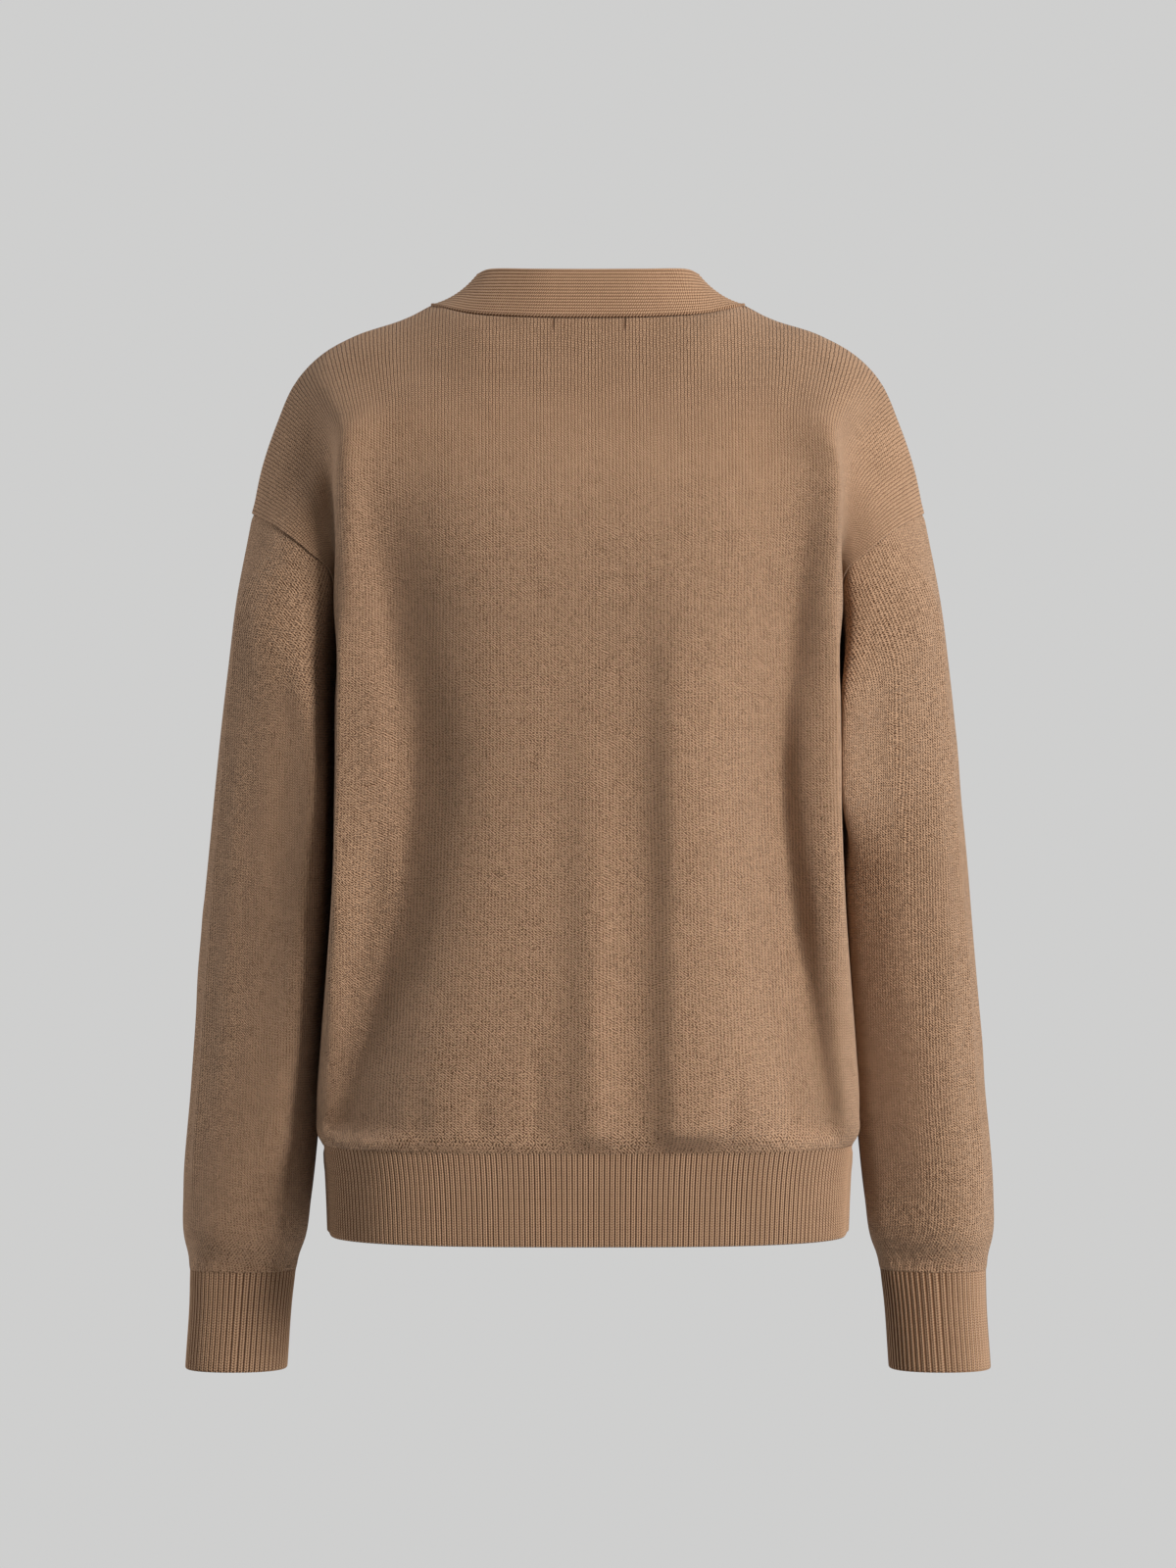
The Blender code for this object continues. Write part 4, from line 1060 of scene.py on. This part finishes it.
def summed(steps, axis):
    """The sums up to each point, from 0, of the lengths of the steps along that axis."""
    sums = np.cumsum(np.linalg.norm(steps, axis=-1), axis=axis)
    return np.insert(sums, 0, 0, axis=axis)


def climb(points, rise):
    """How far up its panel each point is, measured along the fabric and matched to the rise in the
    middle of the panel."""
    run = summed(np.diff(points, axis=0), 0)
    return rise + run - run[:, [run.shape[1] // 2]]


def smoothed(points, share, rise):
    """The points with the fabric beside the high shoulder point eased into one curve."""
    near = swelling(np.abs(share) - NECK_SHARE, EASED_REACH, rising(rise, *EASED_ABOVE))
    near[-1] = 0
    for _ in range(EASING_ROUNDS):
        mean = points.copy()
        mean[1:-1, 1:-1] = (points[:-2, 1:-1] + points[2:, 1:-1] + points[1:-1, :-2] + points[1:-1, 2:]) / 4
        points = points + EASING * near[..., None] * (mean - points)
    return points


def faces(points, normal, relief, edge):
    """The outer and inner face of plain knit; the relief shows half as much inside."""
    relief, edge = relief[..., None], edge[..., None]
    return points + normal * (relief - edge), points - normal * (KNIT_WALL - 0.5 * relief - edge)


def panel(name, side, surface, share, rise, way, seed, finishes):
    """A panel of the back, side 1, or the front; way turns its right side outwards."""
    points = smoothed(surface(share, rise), share, rise)
    to_side = (1 - SEAM / HALF_PANEL - np.abs(share)) * HALF_PANEL
    to_rib = rise - SEAM
    to_top = SHOULDER_RISE - SEAM - rise
    relief = seam_relief(to_side, to_rib, to_top, rise)
    relief += uneven(seed, share * HALF_PANEL, rise)
    edge = drawn_in(np.minimum(np.minimum(to_side, to_rib), to_top), PANEL_EDGE)
    outer, inner = faces(points, way * facing(points), relief, edge)
    crisp = BODY_CRISP + (1 - BODY_CRISP) * rising(points[..., 2], *CRISP_ABOVE)
    on_cap = rising(np.abs(share), *CAP_CRISP_SHARES) * rising(rise, *CAP_CRISP_RISES)
    crisp = np.maximum(crisp, CAP_CRISP * on_cap)
    wales = upright_wales(side, share, points)
    outer, inner, wales, courses, crisp = turned(
        way, outer, inner, wales, climb(points, rise) / COURSE, crisp
    )
    return wall(name, outer, inner, wales, courses, finishes, crisp=crisp)


def both_sides(half):
    """The columns of both sides, from those of one, of which the first is the centre line."""
    return np.concatenate([-half[:0:-1], half])


def back_shares():
    """The columns of the back on one side, closest at the corner and beside the side seam."""
    even = with_edges(0, 1 - SEAM / HALF_PANEL, STEP, scale=HALF_PANEL, first=False)
    near = np.array(CORNER_STEPS) / HALF_PANEL
    close = np.concatenate([CORNER_SHARE - near, [CORNER_SHARE], CORNER_SHARE + near])
    kept = even[np.abs(even - CORNER_SHARE) > near[-1] + CORNER_CLEAR]
    return np.sort(np.concatenate([kept, close]))


def panel_rises():
    return with_edges(SEAM, SHOULDER_RISE - SEAM, RISE_STEP)


def make_back(finishes):
    grid = np.meshgrid(both_sides(back_shares()), panel_rises())
    piece = panel("knit_back", 1, back, *grid, -1, BACK_SEED, finishes)
    cloth(piece, "back")


def make_front(hand, word, finishes):
    first_to_last = with_edges(0, 1, STEP, scale=FRONT_WIDTH)
    part, rise = np.meshgrid(first_to_last, panel_rises())
    first = edge_share(rise) + SEAM / HALF_PANEL
    share = first + (1 - SEAM / HALF_PANEL - first) * part
    surface = partial(front, hand)
    piece = panel("knit_front_" + word, -1, surface, share, rise, hand, FRONT_SEED + hand, finishes)
    cloth(piece, "front_" + word)


def ribbed(name, points, wales, courses, edge, way, finishes, ring=False):
    """A rib's wall: crests of its outer face over grooves of its inner one."""
    normal = way * facing(points, ring)
    phase = wales[:, : points.shape[1]]
    groove = RIB_DEPTH * (1 - rib(phase))[..., None]
    behind = RIB_DEPTH * (1 - rib(phase + 0.5))[..., None]
    edge = edge[..., None]
    outer = points - normal * (groove + edge)
    inner = points - normal * (RIB_WALL - behind - edge)
    outer, inner, wales, courses = turned(way, outer, inner, wales, courses)
    return wall(name, outer, inner, wales, courses, finishes, ring=ring)


def phased(phases, count):
    """The columns of that many ribs, each with columns at these phases."""
    return np.concatenate([k + np.array(phases) for k in range(count)])


def hem_rib(name, surface, numbers, way, finishes):
    """A hem rib on a surface, its columns at these numbers of ribs from the centre line."""
    end = 1 - SEAM / HALF_PANEL
    shares = np.clip(numbers / HEM_RIBS, -end, end)
    share, rise = np.meshgrid(shares, with_edges(HEM_RISE, -SEAM, RIB_STEP))
    wales = np.broadcast_to(numbers, share.shape)
    edge = drawn_in(rise - HEM_RISE, RIB_EDGE)
    return ribbed(name, surface(share, rise), wales, rise / COURSE, edge, way, finishes)


def make_hem(finishes):
    numbers = np.append(phased(RIB_PHASES, HEM_RIBS), HEM_RIBS)
    piece = hem_rib("rib_hem_back", back, both_sides(numbers), -1, finishes)
    cloth(piece, "hem_rib_back")
    first = FRONT_EDGE_SHARE + SEAM / HALF_PANEL
    inside = numbers[numbers / HEM_RIBS > first + HEM_CLEAR]
    for hand, word in HAND_WORDS:
        columns = np.concatenate([[first * HEM_RIBS], inside])
        piece = hem_rib("rib_hem_front_" + word, partial(front, hand), columns, hand, finishes)
        cloth(piece, "hem_rib_front_" + word)


def sleeve_fold_height(turn, along):
    total = np.zeros_like(turn)
    for t0, a0, t1, a1, t2, a2, lower, higher, height in SLEEVE_FOLDS:
        line = hermite((a0, a1, a2), ((t0,), (t1,), (t2,)), along[:, 0]).reshape(-1, 1)
        off = apart(turn, line)
        ends = rising(along, a0, a0 + SLEEVE_FOLD_ENDS) * rising(-along, -a2, -a2 + SLEEVE_FOLD_ENDS)
        total += swelling(off, np.where(off < 0, lower, higher), height * ends)
    return total


def sleeve_counts(points):
    """The wale and course at each point: wales counted from the top of the arm to both sides of
    the underarm, and courses straight across the sleeve."""
    down = np.array(SLEEVE_WAY) / np.linalg.norm(SLEEVE_WAY)
    step = np.roll(points, -1, axis=1) - points
    run = summed(step - (step @ down)[..., None] * down, 1)
    course = -(points @ down) / COURSE
    wale = (run - run[:, [run.shape[1] // 2]]) / WALE_WIDTH
    return wale, np.concatenate([course, course[:, :1]], axis=1)


def make_sleeve(hand, word, finishes):
    first = -SLEEVE_TUCK / SLEEVE_LENGTH
    gap = SEAM / SLEEVE_LENGTH
    rows = with_edges(first, CUFF_START - gap, STEP, scale=SLEEVE_LENGTH)
    turn, along = np.meshgrid(np.arange(SLEEVE_COLUMNS) / SLEEVE_COLUMNS, rows)
    points = sleeve(hand, turn, along)
    to_top = (along - gap) * SLEEVE_LENGTH
    to_cuff = (CUFF_START - gap - along) * SLEEVE_LENGTH
    relief = sleeve_fold_height(turn, along)
    dents = uneven(SLEEVE_SEED + hand, SLEEVE_ROUND * turn, SLEEVE_LENGTH * along)
    relief += dents * np.sin(np.pi * turn)
    relief += swelling(to_top, *SLEEVE_TOP_RELIEF)
    gathers = CUFF_GATHER_HEIGHT * np.sin(2 * np.pi * CUFF_GATHERS * turn)
    relief += swelling(to_cuff, CUFF_GATHER_REACH, gathers)
    relief = relief * rising(to_cuff, *CUFF_SMOOTH)
    edge = drawn_in(np.minimum(to_top, to_cuff), PANEL_EDGE)
    outer, inner = faces(points, facing(points, ring=True), relief, edge)
    crisp = SLEEVE_CRISP + swelling(to_top, *SLEEVE_TOP_CRISP)
    mirror = (hand, 1, 1)
    outer, inner, wales, courses, crisp = turned(
        hand, outer * mirror, inner * mirror, *sleeve_counts(points), crisp
    )
    name = "knit_sleeve_" + word
    piece = wall(name, outer, inner, wales, courses, finishes, ring=True, crisp=crisp)
    cloth(piece, "sleeve_" + word)


def make_cuff(hand, word, finishes):
    count = phased(RIB_PHASES, CUFF_RIBS)
    rows = with_edges(CUFF_START + SEAM / SLEEVE_LENGTH, 1.0, RIB_STEP, scale=SLEEVE_LENGTH)
    turn, along = np.meshgrid(count / CUFF_RIBS, rows)
    points = sleeve(hand, turn, along) * (hand, 1, 1)
    wales = np.broadcast_to(np.append(count, CUFF_RIBS), (len(rows), len(count) + 1))
    courses = np.broadcast_to(-along[:, :1] * SLEEVE_LENGTH / COURSE, wales.shape)
    edge = drawn_in((1.0 - along) * SLEEVE_LENGTH, RIB_EDGE)
    piece = ribbed("rib_cuff_" + word, points, wales, courses, edge, hand, finishes, ring=True)
    cloth(piece, "cuff_" + word)


NECK_STEP = 0.026         # between the band's rows round the neck, as a share of half of it
BAND_STEP = 0.0036        # and down the V
ROW_CLEAR = 0.0009        # from the ends of the buttonholes to the nearest other rows
COLUMN_CLEAR = 0.004      # and from their sides to the nearest other columns, as a share
RIDGES_BEGIN = 0.035      # share across the band where the even columns begin


def band_runs():
    """The band's rows: round the back neck, down the V, and at both ends of each buttonhole."""
    neck = spaced(0, 1, NECK_STEP)
    ends = [rise + end * BUTTONHOLE_LENGTH / 2 for rise in button_rises() for end in (1, -1)]
    even = spaced(HEM_RISE, SHOULDER_RISE, BAND_STEP)
    even = [rise for rise in even if min(abs(rise - end) for end in ends) > ROW_CLEAR]
    near = HEM_RISE + np.array(NEAR_SEAM[:4])
    rises = np.sort(np.concatenate([even, ends, near]))[::-1]
    return np.concatenate([neck[:-1], 1 + SHOULDER_RISE - rises])


def band_columns():
    """The band's columns, as shares across it: on every ridge and at the buttonholes' sides."""
    sides = np.array([(1 - HOLE_SHARE) / 2, (1 + HOLE_SHARE) / 2])
    even = phased(RIDGE_PHASES, BAND_RIDGES) / BAND_RIDGES
    even = even[np.min(np.abs(even[:, None] - sides), axis=1) > COLUMN_CLEAR]
    near = np.array(NEAR_SEAM[:3]) / BAND_WIDTH
    seam = [BAND_CLEAR / BAND_WIDTH]
    columns = np.concatenate([seam, near, even[even > RIDGES_BEGIN], sides, 1 - near, [1.0]])
    return np.unique(columns.round(9))


def make_band(finishes):
    runs = band_runs()
    columns = band_columns()
    across, run = np.meshgrid(columns, runs)
    to_free = (1 - across) * BAND_WIDTH
    edge = drawn_in(np.minimum(to_free, runs[-1] - run), RIB_EDGE)
    edge = np.maximum(edge, drawn_in(across * BAND_WIDTH, PANEL_EDGE))[..., None]
    ridge = np.sin(np.pi * (across * BAND_RIDGES % 1)) ** RIDGE_ROUNDNESS
    roll = np.sin(np.pi * np.clip(across / ROLL_WIDTH, 0, 1))
    relief = (RIDGE_DEPTH * (ridge - 1) + ROLL_HEIGHT * roll)[..., None]
    outer = {}
    inner = {}
    for hand in (1, -1):
        points = band(hand, across, run)
        normal = hand * facing(points)
        outer[hand] = points + normal * (relief - edge)
        inner[hand] = points - normal * (RIB_WALL - edge)

    def joined(right, left):
        """The wearer's right half first, from its hem up to the centre back, then the left."""
        return np.concatenate([right[:0:-1], left])

    neck_length = lengths(evenly(through(BACK_NECK), np.linspace(0, 1, 50)))[-1]
    far = np.minimum(run, 1) * neck_length + np.maximum(run - 1, 0)
    in_hole = np.abs(between(columns) - 0.5) < HOLE_SHARE / 2
    rises = 1 + SHOULDER_RISE - between(joined(runs, runs))
    from_hole = np.min(np.abs(rises[:, None] - button_rises()), axis=1)
    right = np.arange(len(rises)) < len(runs) - 1
    piece = wall(
        "rib_front_band",
        joined(outer[-1], outer[1]),
        joined(inner[-1], inner[1]),
        joined(across, across) * BAND_RIDGES,
        joined(-far, far) / COURSE,
        finishes,
        holes=(right & (from_hole < BUTTONHOLE_LENGTH / 2))[:, None] & in_hole,
    )
    cloth(piece, "front_band")


# ---------- buttons
BUTTON_RIM = 0.0016       # width of its flat rim
BUTTON_STEP = (0.0007, -0.0009)         # width and height of the step down from it
BUTTON_DISH = (0.0022, -0.0002)         # and of the soft dish within
BUTTON_BEVEL = 0.0006
HOLE_PLACE = 0.0014       # x and y of the four holes
HOLE_RADIUS = 0.0008
STITCH_RADIUS = 0.00045   # of the thread over the button
STITCH_LENGTH = 0.0034
STITCH_HEIGHT = 0.00205
STITCH_BEVEL = 0.0003
STRAND_RADIUS = 0.00042   # of the thread in a hole
STRAND_LENGTH = 0.0024
STRAND_HEIGHT = 0.0010
SHANK_RADIUS = THREAD_RADIUS * 1.4      # of the thread through the cloth


def only(piece):
    """Selects this piece alone."""
    bpy.ops.object.select_all(action="DESELECT")
    piece.select_set(True)
    bpy.context.view_layer.objects.active = piece


def applied(piece, kind, **settings):
    """Adds a modifier to the piece and applies it."""
    only(piece)
    made = piece.modifiers.new(kind.lower(), kind)
    for name, value in settings.items():
        setattr(made, name, value)
    bpy.ops.object.modifier_apply(modifier=made.name)


def rounded(piece, width, **settings):
    applied(piece, "BEVEL", width=width, segments=3, limit_method="ANGLE", **settings)


def rod(sides, radius, length, middle, turn=0.0):
    """A cylinder along z, or along x after a quarter turn."""
    bpy.ops.mesh.primitive_cylinder_add(
        vertices=sides, radius=radius, depth=length, location=middle, rotation=(0, turn, 0)
    )
    return bpy.context.object


def set_in(width, height):
    """Insets the selected faces by that width and moves them by that height."""
    bpy.ops.mesh.inset(thickness=width)
    bpy.ops.transform.translate(value=(0, 0, height))


def plain_button():
    """A four-hole button lying flat, its back at z 0: a rim round a sunk middle."""
    half = BUTTON_THICKNESS / 2
    piece = rod(48, BUTTON_RADIUS, BUTTON_THICKNESS, (0, 0, half))
    only(piece)
    bpy.ops.object.mode_set(mode="EDIT")
    bpy.ops.mesh.select_mode(type="FACE")
    bpy.ops.mesh.select_all(action="DESELECT")
    shape = bmesh.from_edit_mesh(piece.data)
    for face in shape.faces:
        face.select = face.normal.z > 0.9
    bmesh.update_edit_mesh(piece.data)
    bpy.ops.mesh.inset(thickness=BUTTON_RIM)
    set_in(*BUTTON_STEP)
    set_in(*BUTTON_DISH)
    bpy.ops.object.mode_set(mode="OBJECT")
    bpy.ops.object.transform_apply(location=True, rotation=True, scale=True)
    rounded(piece, BUTTON_BEVEL, angle_limit=0.7)
    for x in (-HOLE_PLACE, HOLE_PLACE):
        for y in (-HOLE_PLACE, HOLE_PLACE):
            drill = rod(16, HOLE_RADIUS, 0.01, (x, y, half))
            applied(piece, "BOOLEAN", operation="DIFFERENCE", object=drill, solver="EXACT")
            bpy.data.objects.remove(drill, do_unlink=True)
    return piece


def plain_thread():
    """The sewing of a button: two stitches over its face and a shank down through the cloth."""
    parts = []
    for y in (-HOLE_PLACE, HOLE_PLACE):
        over = rod(12, STITCH_RADIUS, STITCH_LENGTH, (0, y, STITCH_HEIGHT), math.pi / 2)
        rounded(over, STITCH_BEVEL)
        parts.append(over)
    for y in (-HOLE_PLACE, HOLE_PLACE):
        for x in (-HOLE_PLACE, HOLE_PLACE):
            parts.append(rod(12, STRAND_RADIUS, STRAND_LENGTH, (x, y, STRAND_HEIGHT)))
    parts.append(rod(24, SHANK_RADIUS, 2 * LAP_SHIFT, (0, 0, -LAP_SHIFT)))
    only(parts[0])
    for one in parts:
        one.select_set(True)
    bpy.ops.object.join()
    bpy.ops.object.transform_apply(location=True, rotation=True, scale=True)
    return bpy.context.object


def button_place(rise):
    """The matrix that carries a plain button to its place on the band."""
    here = body(-1, 0.0, rise)
    along = here - body(-1, 0.0, rise - BUTTON_RADIUS / 2)
    along /= np.linalg.norm(along)
    out = np.array([0.0, -along[2], along[1]])
    ways = np.array([np.cross(along, out), along, out]).T
    seat = here + out * (LAP_SHIFT + GAP)
    return Matrix([*((*row, place) for row, place in zip(ways, seat)), (0, 0, 0, 1)])


def make_buttons(horn, thread):
    models = {"horn_button": (plain_button(), horn), "button_thread": (plain_thread(), thread)}
    for model, finish in models.values():
        model.data.materials.clear()
        model.data.materials.append(finish)
        only(model)
        bpy.ops.object.shade_smooth_by_angle(angle=math.radians(40))
    for number, rise in enumerate(button_rises(), 1):
        place = button_place(rise)
        for name, (model, finish) in models.items():
            piece = model.copy()
            piece.data = model.data.copy()
            piece.name = f"{name}_{number}"
            piece.data.transform(place)
            bpy.context.scene.collection.objects.link(piece)
            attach(piece, "root")
            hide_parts(f"button_{number}")
    for model, finish in models.values():
        bpy.data.objects.remove(model, do_unlink=True)


# ---------- surroundings
FLOOR_RADIUS = 2.5
FLOOR_HEIGHT = -1.40
ROOM_LIGHT = (0.222, 0.222, 0.222, 1.0)
BACKDROP = (0.623, 0.623, 0.619, 1.0)


def make_surroundings():
    """The pale floor, and a grey room that is brighter to the camera than to the garment."""
    place = (0, 0, FLOOR_HEIGHT)
    bpy.ops.mesh.primitive_circle_add(vertices=96, radius=FLOOR_RADIUS, fill_type="NGON", location=place)
    floor = bpy.context.object
    floor.name = "floor"
    bpy.ops.object.transform_apply(location=True, rotation=True, scale=True)
    floor.data.materials.append(floor_finish())
    room = bpy.data.worlds.new("room")
    bpy.context.scene.world = room
    room.use_nodes = True
    tree = room.node_tree
    plain = tree.nodes["Background"]
    plain.inputs["Color"].default_value = ROOM_LIGHT
    seen = tree.nodes.new("ShaderNodeBackground")
    seen.inputs["Color"].default_value = BACKDROP
    path = tree.nodes.new("ShaderNodeLightPath")
    both = tree.nodes.new("ShaderNodeMixShader")
    tree.links.new(path.outputs["Is Camera Ray"], both.inputs[0])
    tree.links.new(plain.outputs[0], both.inputs[1])
    tree.links.new(seen.outputs[0], both.inputs[2])
    tree.links.new(both.outputs[0], tree.nodes["World Output"].inputs["Surface"])


def make_all():
    wrong_side = wrong_side_finish()
    plain = (plain_finish("plain_knit_camel"), wrong_side)
    ribs = (rib_finish(),) * 2
    bands = (band_finish(),) * 2
    make_back((plain_finish("plain_knit_camel_back", tacks=True), wrong_side))
    for hand, word in HAND_WORDS:
        make_front(hand, word, plain)
    make_hem(ribs)
    for hand, word in HAND_WORDS:
        make_sleeve(hand, word, plain)
        make_cuff(hand, word, ribs)
    make_band(bands)
    make_buttons(horn_finish(), thread_finish())
    make_surroundings()


make_all()
